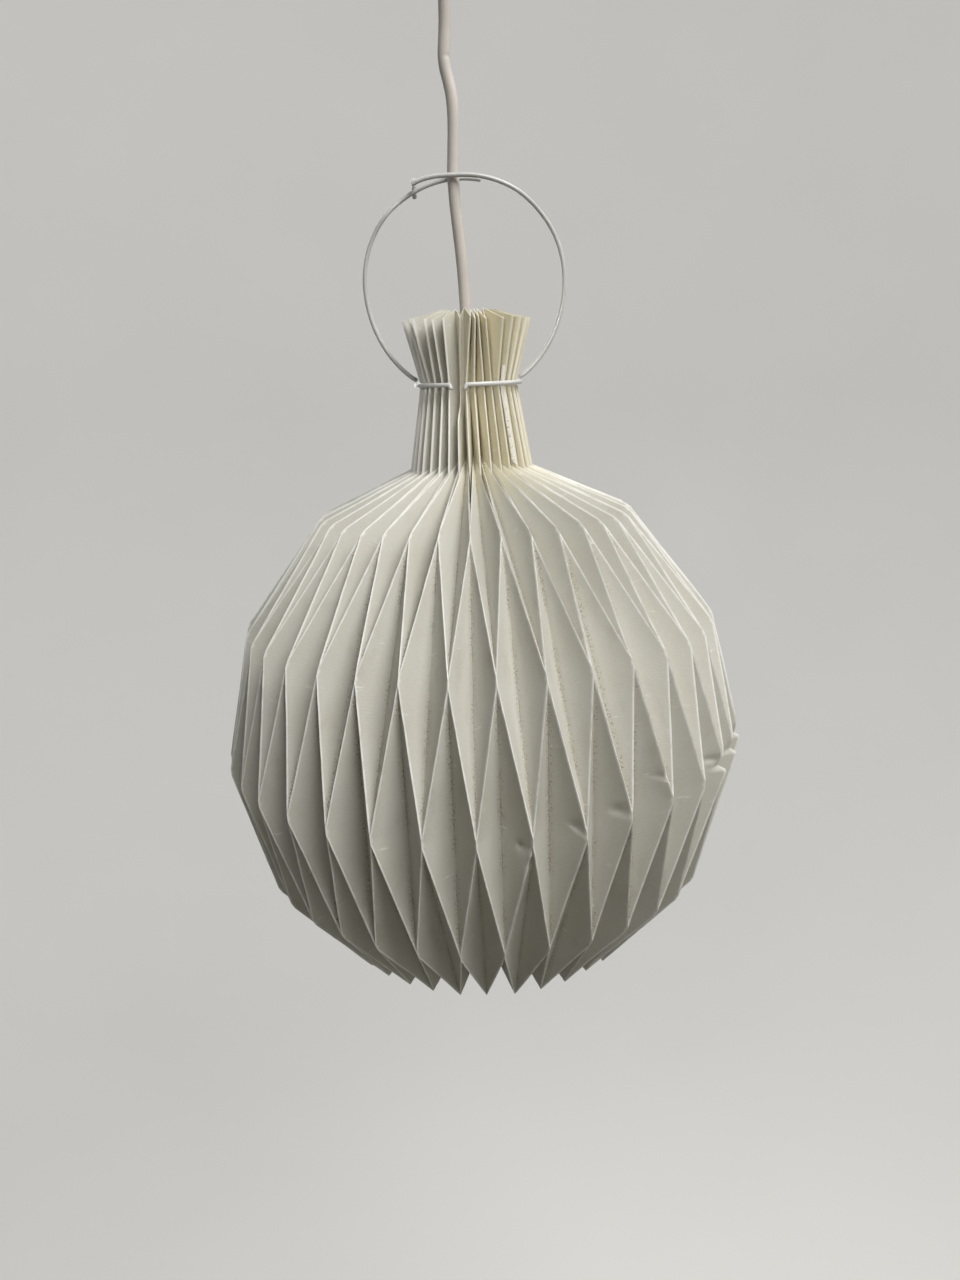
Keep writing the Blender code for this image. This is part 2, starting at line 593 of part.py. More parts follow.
def make_lampholder(parent, plastic, ceramic, brass, cores):
    """Make the lampholder: cord nut, cap, insert with terminals and contact, thread shell and skirt."""
    bore = CORD_RADIUS + GAP
    turned("cord_nut", [(NUT_RADIUS - HOLDER_BEVEL, 0.0), (NUT_RADIUS, -HOLDER_BEVEL),
                        (NUT_RADIUS, -NUT_HEIGHT), (bore, -NUT_HEIGHT), (bore, 0.0)],
           plastic, parent, steps=SMALL_TURN_STEPS)

    arch = [math.pi / 2.0 * i / CORNER_STEPS for i in range(CORNER_STEPS + 1)]
    rise = CAP_RADIUS - CAP_NECK_RADIUS
    outer = [(CAP_NECK_RADIUS + rise * math.sin(a), CAP_TOP - CAP_DOME_HEIGHT * (1.0 - math.cos(a)))
             for a in arch]
    inner_top = CAP_TOP - CAP_WALL
    inner_rise = rise - CAP_WALL
    inner_drop = CAP_DOME_HEIGHT - CAP_WALL
    inner = [(CAP_NECK_RADIUS + inner_rise * math.sin(a), inner_top - inner_drop * (1.0 - math.cos(a)))
             for a in reversed(arch)]
    profile = outer + [(CAP_RADIUS, CAP_BOTTOM), (CAP_RADIUS - CAP_WALL, CAP_BOTTOM)] + inner
    profile += [(CAP_BORE, inner_top), (CAP_BORE, CAP_TOP)]
    turned("holder_cap", profile, plastic, parent)

    insert_radius = CAP_RADIUS - CAP_WALL - GAP
    turned("holder_insert", [(0.0, INSERT_TOP), (insert_radius, INSERT_TOP), (insert_radius, INSERT_BOTTOM),
                             (0.0, INSERT_BOTTOM)], ceramic, parent)

    post_foot = INSERT_TOP + GAP
    post_top = post_foot + TERMINAL_POST_HEIGHT
    cord_end = -CORD_INTO_HOLDER - GAP
    for pole, side, finish in (("neutral", -1.0, cores[0]), ("live", 1.0, cores[1])):
        x = side * TERMINAL_POST_SPACING / 2.0
        post = rod_mesh("holder_terminal_" + pole, TERMINAL_POST_RADIUS, (x, 0.0, post_foot),
                        (x, 0.0, post_top))
        place_piece("holder_terminal_" + pole, post, brass, parent)
        core_end = post_top + GAP
        route = [(side * CORE_SPREAD, 0.0, cord_end), (side * CORE_SPREAD, 0.0, cord_end - CORE_LEAD),
                 (x, 0.0, core_end + CORE_LEAD), (x, 0.0, core_end)]
        wire("core_" + pole + "_holder", smooth_route(route, CORE_STEP), CORE_RADIUS, finish, parent)

    shell_top = INSERT_BOTTOM - GAP
    shell_bore = THREAD_SHELL_RADIUS - THREAD_SHELL_WALL
    turned("thread_shell", [(THREAD_SHELL_RADIUS, shell_top),
                            (THREAD_SHELL_RADIUS, shell_top - THREAD_SHELL_HEIGHT),
                            (shell_bore, shell_top - THREAD_SHELL_HEIGHT), (shell_bore, shell_top)],
           brass, parent)
    turned("centre_contact", [(0.0, shell_top), (CENTRE_CONTACT_RADIUS, shell_top),
                              (CENTRE_CONTACT_TIP, CONTACT_BOTTOM), (0.0, CONTACT_BOTTOM)],
           brass, parent, steps=SMALL_TURN_STEPS)

    skirt_top = CAP_BOTTOM - GAP
    skirt_bottom = skirt_top - SKIRT_HEIGHT
    lip = THREAD_SHELL_RADIUS + GAP
    turned("holder_skirt", [(CAP_RADIUS, skirt_top), (CAP_RADIUS, skirt_bottom + HOLDER_BEVEL),
                            (CAP_RADIUS - HOLDER_BEVEL, skirt_bottom), (lip, skirt_bottom),
                            (lip, skirt_bottom + CAP_WALL),
                            (CAP_RADIUS - CAP_WALL, skirt_bottom + 2.0 * CAP_WALL),
                            (CAP_RADIUS - CAP_WALL, skirt_top)], plastic, parent)


def make_lamp(parent, plastic, opal, brass, black, board):
    """Make the lamp: contact, insulator, threaded cap, housing, light board and globe."""
    contact_top = CONTACT_BOTTOM - GAP
    contact_foot = contact_top - LAMP_CONTACT_HEIGHT
    turned("lamp_contact", [(0.0, contact_top), (LAMP_CONTACT_TIP, contact_top),
                            (LAMP_CONTACT_RADIUS, contact_foot), (0.0, contact_foot)],
           brass, parent, steps=SMALL_TURN_STEPS)

    thread_radius = THREAD_SHELL_RADIUS - THREAD_SHELL_WALL - THREAD_RUNNING_GAP
    root_radius = thread_radius - LAMP_THREAD_DEPTH
    insulator_top = contact_foot - GAP
    insulator_foot = insulator_top - INSULATOR_HEIGHT
    turned("lamp_insulator", [(0.0, insulator_top), (INSULATOR_TOP_RADIUS, insulator_top),
                              (root_radius - LAMP_CAP_WALL, insulator_foot), (0.0, insulator_foot)],
           black, parent)

    cap_top = insulator_foot - GAP
    pitch = LAMP_CAP_HEIGHT / (LAMP_THREADS + 1)
    crests = [(root_radius, cap_top)]
    for i in range(LAMP_THREADS):
        crests += [(root_radius, cap_top - pitch * (i + 0.25)), (thread_radius, cap_top - pitch * (i + 0.6))]
    cap_foot = cap_top - LAMP_CAP_HEIGHT
    cap_bore = root_radius - LAMP_CAP_WALL
    turned("lamp_screw_cap", crests + [(root_radius, cap_top - pitch * LAMP_THREADS), (root_radius, cap_foot),
                                       (cap_bore, cap_foot), (cap_bore, cap_top)], brass, parent)

    neck_radius = cap_bore - GAP
    collar_top = cap_foot - GAP
    rim = collar_top - HOUSING_HEIGHT
    neck_top = collar_top + HOUSING_NECK_HEIGHT
    neck_bore = neck_radius - HOUSING_WALL
    seat = HOUSING_WALL + LED_BOARD_THICKNESS
    turned("lamp_housing", [(neck_radius, neck_top), (neck_radius, collar_top), (root_radius, collar_top),
                            (HOUSING_RADIUS - 3.0 * HOUSING_WALL, rim + HOUSING_FLARE_HEIGHT),
                            (HOUSING_RADIUS, rim), (HOUSING_RADIUS - HOUSING_WALL, rim),
                            (HOUSING_RADIUS - HOUSING_WALL, rim + seat),
                            (HOUSING_RADIUS - 3.0 * HOUSING_WALL, rim + seat),
                            (HOUSING_RADIUS - 5.0 * HOUSING_WALL, rim + HOUSING_FLARE_HEIGHT),
                            (neck_bore, collar_top - HOUSING_WALL), (neck_bore, neck_top)], plastic, parent)

    board_top = rim + seat - GAP
    board_radius = HOUSING_RADIUS - HOUSING_WALL - GAP
    turned("led_board", [(0.0, board_top), (board_radius, board_top),
                         (board_radius, board_top - LED_BOARD_THICKNESS),
                         (0.0, board_top - LED_BOARD_THICKNESS)], board, parent)

    globe_top = rim - GAP
    start = math.asin(GLOBE_NECK_RADIUS / GLOBE_RADIUS)
    centre = globe_top - GLOBE_RADIUS * math.cos(start)
    angles = [start + (math.pi - start) * i / GLOBE_STEPS for i in range(GLOBE_STEPS + 1)]
    outer = [(GLOBE_RADIUS * math.sin(a), centre + GLOBE_RADIUS * math.cos(a)) for a in angles[:-1]]
    outer.append((0.0, centre - GLOBE_RADIUS))
    hollow = GLOBE_RADIUS - GLOBE_WALL
    inner = [(0.0, centre - hollow)]
    inner += [(hollow * math.sin(a), centre + hollow * math.cos(a)) for a in reversed(angles[1:-1])]
    inner.append((GLOBE_NECK_RADIUS - GLOBE_WALL, globe_top))
    globe = turned("lamp_globe", inner[::-1] + outer[::-1], opal, parent)
    globe.modifiers["turn"].use_normal_flip = True


clear_scene()
PARTS = collection("paper_lantern")
CUTTERS = collection("cutters")

PAPER = material("white_paper", (0.80, 0.79, 0.72), 0.75)
TAPE_PAPER = material("tape_paper", (0.88, 0.87, 0.82), 0.65)
WHITE_WIRE = material("white_wire", (0.82, 0.82, 0.80), 0.35)
FLEX = material("white_flex", (0.78, 0.77, 0.72), 0.45)
WHITE_PLASTIC = material("white_plastic", (0.83, 0.83, 0.80), 0.40)
BLACK_GLASS = material("black_glass", (0.02, 0.02, 0.02), 0.15)
CERAMIC = material("ceramic", (0.85, 0.84, 0.80), 0.30)
BRASS = material("brass", (0.78, 0.60, 0.30), 0.30, 1.0)
STEEL = material("zinc_steel", (0.62, 0.62, 0.60), 0.35, 1.0)
OPAL = material("opal_globe", (0.90, 0.89, 0.85), 0.25)
BOARD = material("light_board", (0.75, 0.76, 0.74), 0.40)
BLUE_CORE = material("blue_core", (0.08, 0.22, 0.55), 0.45)
BROWN_CORE = material("brown_core", (0.28, 0.13, 0.06), 0.45)

suspension = empty("suspension", (0.0, 0.0, 0.0))
cup_carrier = empty("cup_carrier", (0.0, 0.0, 0.0), suspension)
shade_carrier = empty("shade_carrier", (SHADE_OFFSET, 0.0, -SHADE_DROP), suspension)
holder_carrier = empty("holder_carrier", (SHADE_OFFSET, 0.0, -HOLDER_DROP), suspension)

make_shade_sheet(shade_carrier, PAPER)
make_seam_tape(shade_carrier, TAPE_PAPER)
make_collar(shade_carrier, WHITE_WIRE)
make_arm_right(shade_carrier, WHITE_WIRE)
make_arm_left(shade_carrier, WHITE_WIRE)
make_cord(suspension, FLEX)
make_ceiling_plate(suspension, STEEL)
make_cord_clamp(suspension, WHITE_PLASTIC, STEEL)
make_terminal_block(suspension, WHITE_PLASTIC, BRASS, (BLUE_CORE, BROWN_CORE))
make_ceiling_cup(cup_carrier, WHITE_PLASTIC, STEEL)
make_lampholder(holder_carrier, WHITE_PLASTIC, CERAMIC, BRASS, (BLUE_CORE, BROWN_CORE))
make_lamp(holder_carrier, WHITE_PLASTIC, OPAL, BRASS, BLACK_GLASS, BOARD)
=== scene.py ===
"""Looks of a pleated paper pendant lantern: folded sheet, wire hanger, flex, ceiling fitting and lamp.

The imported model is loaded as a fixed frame. Each sub-assembly is a class that builds its visible meshes in
the frame's own place and dresses them with procedural finishes. Lengths are in metres and +Z is up.
"""
import json
import logging
import math
import random
from collections.abc import Callable
from dataclasses import dataclass
from enum import Enum

import bpy
import numpy as np
from mathutils import Matrix, Vector, noise

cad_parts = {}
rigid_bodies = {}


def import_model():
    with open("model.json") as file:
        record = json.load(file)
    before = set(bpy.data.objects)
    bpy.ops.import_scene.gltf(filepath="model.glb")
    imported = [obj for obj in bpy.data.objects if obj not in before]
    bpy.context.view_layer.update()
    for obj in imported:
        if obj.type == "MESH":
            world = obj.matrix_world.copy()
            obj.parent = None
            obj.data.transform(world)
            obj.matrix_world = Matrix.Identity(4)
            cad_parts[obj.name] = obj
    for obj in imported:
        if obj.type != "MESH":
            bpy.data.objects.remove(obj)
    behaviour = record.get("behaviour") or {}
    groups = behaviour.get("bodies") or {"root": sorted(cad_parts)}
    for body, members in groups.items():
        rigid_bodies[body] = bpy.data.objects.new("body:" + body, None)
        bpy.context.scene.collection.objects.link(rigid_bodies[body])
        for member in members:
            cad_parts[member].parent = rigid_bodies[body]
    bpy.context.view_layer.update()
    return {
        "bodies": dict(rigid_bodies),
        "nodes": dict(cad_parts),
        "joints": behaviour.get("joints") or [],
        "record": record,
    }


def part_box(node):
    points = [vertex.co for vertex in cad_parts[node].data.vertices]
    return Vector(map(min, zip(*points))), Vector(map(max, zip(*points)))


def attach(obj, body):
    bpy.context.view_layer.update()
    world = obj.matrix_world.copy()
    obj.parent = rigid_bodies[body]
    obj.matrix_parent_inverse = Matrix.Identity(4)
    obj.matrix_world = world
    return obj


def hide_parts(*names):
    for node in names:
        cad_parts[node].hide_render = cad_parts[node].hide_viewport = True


MM = 0.001
TURN = 2.0 * math.pi
TINY = 1e-6
# Height of the shade's widest ring
RING_Z = -445.0 * MM
LOG = logging.getLogger("paper_lantern")

Colour = tuple[float, float, float]
Profile = list[tuple[float, float]]
Reshape = Callable[[float, float, float], float]
Socket = bpy.types.NodeSocket


class Body(Enum):
    """Moving bodies of the frame."""

    SUSPENSION = "suspension"
    CUP = "cup"
    SHADE = "shade"
    RIGHT_ARM = "right_arm"
    LEFT_ARM = "left_arm"
    LAMP = "lamp"


class Slot(Enum):
    """Material slots of the record."""

    PAPER = "white_paper"
    TAPE = "tape_paper"
    WIRE = "white_wire"
    FLEX = "white_flex"
    PLASTIC = "white_plastic"
    STEEL = "zinc_steel"
    BRASS = "brass"
    CERAMIC = "ceramic"
    INSULATOR = "black_glass"
    BOARD = "light_board"
    GLOBE = "opal_globe"
    BLUE = "blue_core"
    BROWN = "brown_core"


class Tree:
    """Adds and links the nodes of one shader tree."""

    def __init__(self, tree: bpy.types.NodeTree) -> None:
        """Keep a tree.

        Args:
            tree: The node tree of a material, a group or the world.
        """
        self.nodes = tree.nodes
        self.links = tree.links

    def feed(self, sockets: bpy.types.bpy_prop_collection, values: dict) -> None:
        """Link sockets or set their values.

        Args:
            sockets: A node's inputs.
            values: Outputs, numbers, colours or vectors by the input's name or number.
        """
        for key, value in values.items():
            socket = sockets[key]
            if isinstance(value, Socket):
                self.links.new(value, socket)
            elif socket.type == "RGBA":
                socket.default_value = (*value, 1.0)
            else:
                socket.default_value = value

    def add(self, kind: str, inputs: dict | None = None, **settings: object) -> bpy.types.Node:
        """Add a node.

        Args:
            kind: The node's type name.
            inputs: What its inputs take.
            **settings: The node's own settings.

        Returns:
            The new node.
        """
        node = self.nodes.new(kind)
        for key, value in settings.items():
            setattr(node, key, value)
        self.feed(node.inputs, inputs or {})
        return node

    def math(self, operation: str, first: object, second: object = 0.0) -> Socket:
        """Return the output of a Math node.

        Args:
            operation: The node's operation.
            first: Its first value.
            second: Its second value.
        """
        return self.add("ShaderNodeMath", {0: first, 1: second}, operation=operation).outputs[0]

    def times(self, first: object, second: object) -> Socket:
        """Return the product of two values.

        Args:
            first: The first value.
            second: The second value.
        """
        return self.math("MULTIPLY", first, second)

    def plus(self, base: object, value: object, share: float) -> Socket:
        """Return a value with a share of another one added.

        Args:
            base: The value.
            value: The other one.
            share: How much of it is added.
        """
        return self.math("ADD", base, self.times(value, share))

    def spread(self, value: object, low: float, high: float, start: float = 0.0, end: float = 1.0) -> Socket:
        """Return a value mapped smoothly from one range to another, and held at its ends.

        Args:
            value: The value to map.
            low: Where the map starts.
            high: Where the map ends.
            start: The result at low.
            end: The result at high.
        """
        inputs = {"Value": value, "From Min": low, "From Max": high, "To Min": start, "To Max": end}
        return self.add("ShaderNodeMapRange", inputs, interpolation_type="SMOOTHSTEP").outputs["Result"]

    def blend(self, share: object, first: object, second: object) -> Socket:
        """Return a mix of two colours.

        Args:
            share: How much of the second colour shows.
            first: The first colour.
            second: The second colour.
        """
        return self.add("ShaderNodeMix", {0: share, 6: first, 7: second}, data_type="RGBA").outputs[2]

    def layer(self, colour: object, mask: object, share: float, tint: Colour) -> Socket:
        """Return a colour with a tint laid over it.

        Args:
            colour: The colour below.
            mask: Where the tint lies.
            share: How much of it shows there.
            tint: The tint.
        """
        return self.blend(self.times(mask, share), colour, tint)

    def cloud(self, place: object, scale: object, detail: float = 3.0, rough: float = 0.55) -> Socket:
        """Return the value of a noise texture.

        Args:
            place: The coordinates.
            scale: The texture's scale.
            detail: Its octaves.
            rough: The weight of the finer octaves.
        """
        inputs = {"Vector": place, "Scale": scale, "Detail": detail, "Roughness": rough}
        return self.add("ShaderNodeTexNoise", inputs).outputs[0]

    def stretch(self, place: object, scale: tuple[float, float, float]) -> Socket:
        """Return coordinates scaled along each axis.

        Args:
            place: The coordinates.
            scale: The three factors.
        """
        return self.add("ShaderNodeMapping", {"Vector": place, "Scale": scale}).outputs[0]

    def part(self, vector: object, axis: str) -> Socket:
        """Return one part of a vector.

        Args:
            vector: The vector.
            axis: X, Y or Z.
        """
        return self.add("ShaderNodeSeparateXYZ", {"Vector": vector}).outputs[axis]

    def bump(self, height: object, strength: float, distance: float) -> Socket:
        """Return the normal of a Bump node.

        Args:
            height: The height value.
            strength: The bump's strength.
            distance: The height that a value of 1 stands for.
        """
        inputs = {"Height": height, "Strength": strength, "Distance": distance}
        return self.add("ShaderNodeBump", inputs).outputs["Normal"]

    def group(self, group: bpy.types.NodeTree, inputs: dict) -> bpy.types.bpy_prop_collection:
        """Place a node group and return its outputs.

        Args:
            group: The node group.
            inputs: What its inputs take.
        """
        return self.add("ShaderNodeGroup", inputs, node_tree=group).outputs


def new_group(name: str, inputs: dict[str, tuple[str, float | None]], outputs: tuple[str, ...]) -> tuple:
    """Start a shader node group whose outputs are values.

    Args:
        name: The group's name.
        inputs: Socket type and default value by input name.
        outputs: The outputs' names.

    Returns:
        The group, its Tree, and the sockets that give its inputs and take its outputs.
    """
    group = bpy.data.node_groups.new(name, "ShaderNodeTree")
    for key, (kind, value) in inputs.items():
        socket = group.interface.new_socket(key, in_out="INPUT", socket_type="NodeSocket" + kind)
        if value is not None:
            socket.default_value = value
    for key in outputs:
        group.interface.new_socket(key, in_out="OUTPUT", socket_type="NodeSocketFloat")
    tree = Tree(group)
    return group, tree, tree.add("NodeGroupInput").outputs, tree.add("NodeGroupOutput").inputs


class Effects:
    """Shader node groups that several finishes share."""

    def __init__(self) -> None:
        """Build each group once."""
        self.fibre = self.make_fibre()
        self.folds = self.make_folds()
        self.wear = self.make_wear()

    @staticmethod
    def make_fibre() -> bpy.types.NodeTree:
        """Return the group for paper: clouds of tone, short fibres, faint laid lines, scuffs and stains."""
        group, tree, given, result = new_group(
            "paper_fibre", {"Flat": ("Vector", None), "Laid Pitch": ("Float", 1.6 * MM)},
            ("Cloud", "Fibre", "Scuff", "Stain", "Height"))
        flat = given["Flat"]

        def streaks(across: float, along: float, detail: float, rough: float = 0.55) -> Socket:
            """Return noise with its own scale across and along the sheet."""
            return tree.cloud(tree.stretch(flat, (across, along, 1.0)), 1.0, detail, rough)

        fleck = tree.cloud(flat, 1100.0, 3.0, 0.6)
        fibre = streaks(420.0, 1500.0, 3.0, 0.65)
        wobbly = tree.plus(tree.part(flat, "Y"), tree.cloud(flat, 35.0, 1.0), 1.2 * MM)
        laid = tree.math("SINE", tree.times(tree.math("DIVIDE", wobbly, given["Laid Pitch"]), TURN))
        places = tree.spread(streaks(70.0, 260.0, 1.0), 0.67, 0.76)
        strokes = tree.spread(streaks(260.0, 1500.0, 3.0), 0.42, 0.62)
        tree.feed(result, {
            "Cloud": tree.cloud(flat, 28.0, 4.0),
            "Fibre": fibre,
            "Scuff": tree.times(places, strokes),
            "Stain": tree.spread(streaks(75.0, 32.0, 5.0, 0.62), 0.52, 0.78),
            "Height": tree.plus(tree.plus(tree.times(fibre, 0.5), fleck, 0.5), laid, 0.045)})
        return group

    @staticmethod
    def make_folds() -> bpy.types.NodeTree:
        """Return the group for folds: worn ridges with a painted highlight, painted shade and a ragged score
        along the valleys, and specks of dirt.
        """
        group, tree, given, result = new_group(
            "fold_marks", {"Distances": ("Vector", None), "Flat": ("Vector", None)},
            ("Ridge Wear And Highlight", "Valley Shade", "Score", "Specks"))
        parts = tree.add("ShaderNodeSeparateXYZ", {"Vector": given["Distances"]}).outputs
        above, below, valley = parts["X"], parts["Y"], parts["Z"]
        flat = given["Flat"]

        def close(distance: Socket, full: float, none: float) -> Socket:
            """Return 1 up to the first distance in millimetres and 0 from the second on."""
            return tree.spread(distance, full * MM, none * MM, 1.0, 0.0)

        broken = tree.spread(tree.cloud(flat, 140.0, 3.0), 0.30, 0.55, 0.5, 1.0)
        ragged = tree.math("SUBTRACT", tree.cloud(flat, 520.0, 3.0, 0.7), 0.5)
        score = close(tree.math("ABSOLUTE", tree.plus(valley, ragged, 2.2 * MM)), 0.2, 0.6)
        patches = tree.spread(tree.cloud(flat, 48.0, 2.0), 0.34, 0.56)
        grains = tree.spread(tree.cloud(flat, 900.0, 2.0, 0.7), 0.55, 0.63)
        # Ridge marks: worn fold edges with a painted highlight along them, and painted white tips where the
        # folds meet and catch the light
        lines = tree.times(close(tree.math("MINIMUM", above, below), 0.3, 0.8), broken)
        tips = close(tree.math("MAXIMUM", above, below), 0.6, 2.2)
        tree.feed(result, {
            "Ridge Wear And Highlight": tree.math("MAXIMUM", lines, tips),
            # Valley band: painted shade along each crease
            "Valley Shade": close(valley, 0.2, 4.5),
            "Score": tree.times(score, patches),
            "Specks": tree.times(tree.times(grains, patches), close(valley, 0.6, 3.6))})
        return group

    @staticmethod
    def make_wear() -> bpy.types.NodeTree:
        """Return the group for hard surfaces: dust, fine scratches, chips and an uneven skin."""
        group, tree, given, result = new_group(
            "surface_wear", {"Place": ("Vector", None), "Grain": ("Float", 900.0), "Chips": ("Float", 0.7)},
            ("Dust", "Scratch", "Chip", "Height"))
        place = given["Place"]
        facing = tree.part(tree.add("ShaderNodeNewGeometry").outputs["Normal"], "Z")
        settled = tree.spread(tree.cloud(place, 160.0), 0.35, 0.7)
        lines = tree.stretch(place, (3000.0, 2600.0, 90.0))
        flaws = tree.math("SUBTRACT", tree.cloud(place, 260.0, 4.0, 0.65), given["Chips"])
        tree.feed(result, {
            "Dust": tree.times(tree.spread(facing, 0.1, 0.95), settled),
            "Scratch": tree.spread(tree.cloud(lines, 1.0, 2.0), 0.63, 0.72),
            "Chip": tree.spread(flaws, 0.0, 0.03),
            "Height": tree.cloud(place, given["Grain"], 3.0)})
        return group


def start_material(name: str) -> tuple[bpy.types.Material, Tree, bpy.types.Node]:
    """Start a material with a Principled shader.

    Args:
        name: The material's name.

    Returns:
        The material, its Tree and its shader node.
    """
    material = bpy.data.materials.new(name)
    material.use_nodes = True
    return material, Tree(material.node_tree), material.node_tree.nodes["Principled BSDF"]


@dataclass(frozen=True)
class PaperFinish:
    """Folded paper: fibres, worn ridges with a painted highlight, dirt and painted shade along the valleys,
    and a painted warm glow on the lit side of the neck.
    """

    name: str
    colour: Colour
    aged: Colour
    ridge: Colour
    soil_and_shade: Colour
    speck: Colour
    lit_neck_glow: Colour
    rough: float = 0.80
    sheer: float = 0.30
    girth: float = 1.3608
    # Where along the flat sheet the painted warm glow of the lit neck starts, and where it is full
    neck: tuple = (-0.165, -0.215)

    def build(self, effects: Effects) -> bpy.types.Material:
        """Return the paper's material.

        Args:
            effects: The shared node groups.
        """
        material, tree, shader = start_material(self.name)
        flat = tree.add("ShaderNodeUVMap", uv_map="flat").outputs[0]
        distances = tree.add("ShaderNodeAttribute", attribute_name="fold_distance").outputs["Vector"]
        fibre = tree.group(effects.fibre, {"Flat": flat})
        folds = tree.group(effects.folds, {"Distances": distances, "Flat": flat})
        # Painted light: the neck's colour turns warmer and brighter towards its right side, where the light
        # falls and glows through the folds
        round_neck = tree.math("SINE", tree.times(tree.part(flat, "X"), TURN / self.girth))
        neck = tree.times(tree.spread(tree.part(flat, "Y"), *self.neck),
                          tree.spread(round_neck, -0.35, 0.15, 0.15, 1.0))
        colour = tree.blend(tree.spread(fibre["Cloud"], 0.30, 0.72), self.colour, self.aged)
        colour = tree.blend(neck, colour, self.lit_neck_glow)
        # The dirt tint marks the stains and the fibres; along the valleys and the score line it is painted
        # shade in the creases
        marks = ((fibre["Stain"], 0.30, self.soil_and_shade), (tree.spread(fibre["Fibre"], 0.3, 0.7), 0.12, self.soil_and_shade),
                 (folds["Valley Shade"], 0.16, self.soil_and_shade), (folds["Score"], 0.75, self.soil_and_shade),
                 (folds["Specks"], 0.75, self.speck), (fibre["Scuff"], 0.60, self.ridge))
        for mask, share, tint in marks:
            colour = tree.layer(colour, mask, share, tint)
        # Painted highlight on the ridges over their worn edges, fainter on the glowing neck
        worn = tree.times(folds["Ridge Wear And Highlight"], tree.spread(neck, 0.0, 1.0, 0.90, 0.35))
        colour = tree.blend(worn, colour, self.ridge)
        normal = tree.bump(tree.plus(fibre["Height"], folds["Score"], 0.6), 0.5, 0.2 * MM)
        tree.feed(shader.inputs, {
            "Base Color": colour,
            "Roughness": tree.spread(fibre["Fibre"], 0.25, 0.75, self.rough - 0.08, self.rough + 0.08),
            "Specular IOR Level": 0.25,
            "Normal": normal})
        through = tree.add("ShaderNodeBsdfTranslucent", {"Color": colour, "Normal": normal})
        sheet = tree.add("ShaderNodeMixShader", {0: self.sheer, 1: shader.outputs[0], 2: through.outputs[0]})
        tree.feed(tree.nodes["Material Output"].inputs, {"Surface": sheet.outputs[0]})
        return material


@dataclass(frozen=True)
class CoatedFinish:
    """Plastic, dipped wire, ceramic or sheath: a coloured skin with dust, marks and an uneven gloss."""

    name: str
    colour: Colour
    worn: Colour
    rough: float
    grain: float = 900.0
    chips: float = 0.80
    dust: float = 0.25
    coat: float = 0.0
    under: Colour = (0.35, 0.34, 0.32)
    skin: float = 0.12
    dust_colour: Colour = (0.55, 0.53, 0.48)

    def build(self, effects: Effects) -> bpy.types.Material:
        """Return the skin's material.

        Args:
            effects: The shared node groups.
        """
        material, tree, shader = start_material(self.name)
        place = tree.add("ShaderNodeTexCoord").outputs["Object"]
        wear = tree.group(effects.wear, {"Place": place, "Grain": self.grain, "Chips": self.chips})
        colour = tree.blend(tree.spread(tree.cloud(place, 45.0), 0.35, 0.68), self.colour, self.worn)
        colour = tree.layer(colour, wear["Dust"], self.dust, self.dust_colour)
        tree.feed(shader.inputs, {
            "Base Color": tree.layer(colour, wear["Chip"], 0.6, self.under),
            "Roughness": tree.plus(tree.plus(self.rough, wear["Dust"], 0.25), wear["Scratch"], 0.12),
            "Coat Weight": self.coat,
            "Normal": tree.bump(wear["Height"], self.skin, 0.1 * MM)})
        return material


@dataclass(frozen=True)
class MetalFinish:
    """Bare metal: brushed tone, tarnish and scratches."""

    name: str
    colour: Colour
    tarnish: Colour
    rough: float

    def build(self, effects: Effects) -> bpy.types.Material:
        """Return the metal's material.

        Args:
            effects: The shared node groups.
        """
        material, tree, shader = start_material(self.name)
        place = tree.add("ShaderNodeTexCoord").outputs["Object"]
        wear = tree.group(effects.wear, {"Place": place, "Grain": 1500.0, "Chips": 0.62})
        clouds = tree.spread(tree.cloud(place, 220.0), 0.42, 0.70)
        tree.feed(shader.inputs, {
            "Base Color": tree.blend(clouds, self.colour, self.tarnish),
            "Metallic": 1.0,
            "Roughness": tree.plus(tree.plus(self.rough, wear["Scratch"], 0.18), clouds, 0.15),
            "Normal": tree.bump(wear["Height"], 0.10, 0.1 * MM)})
        return material


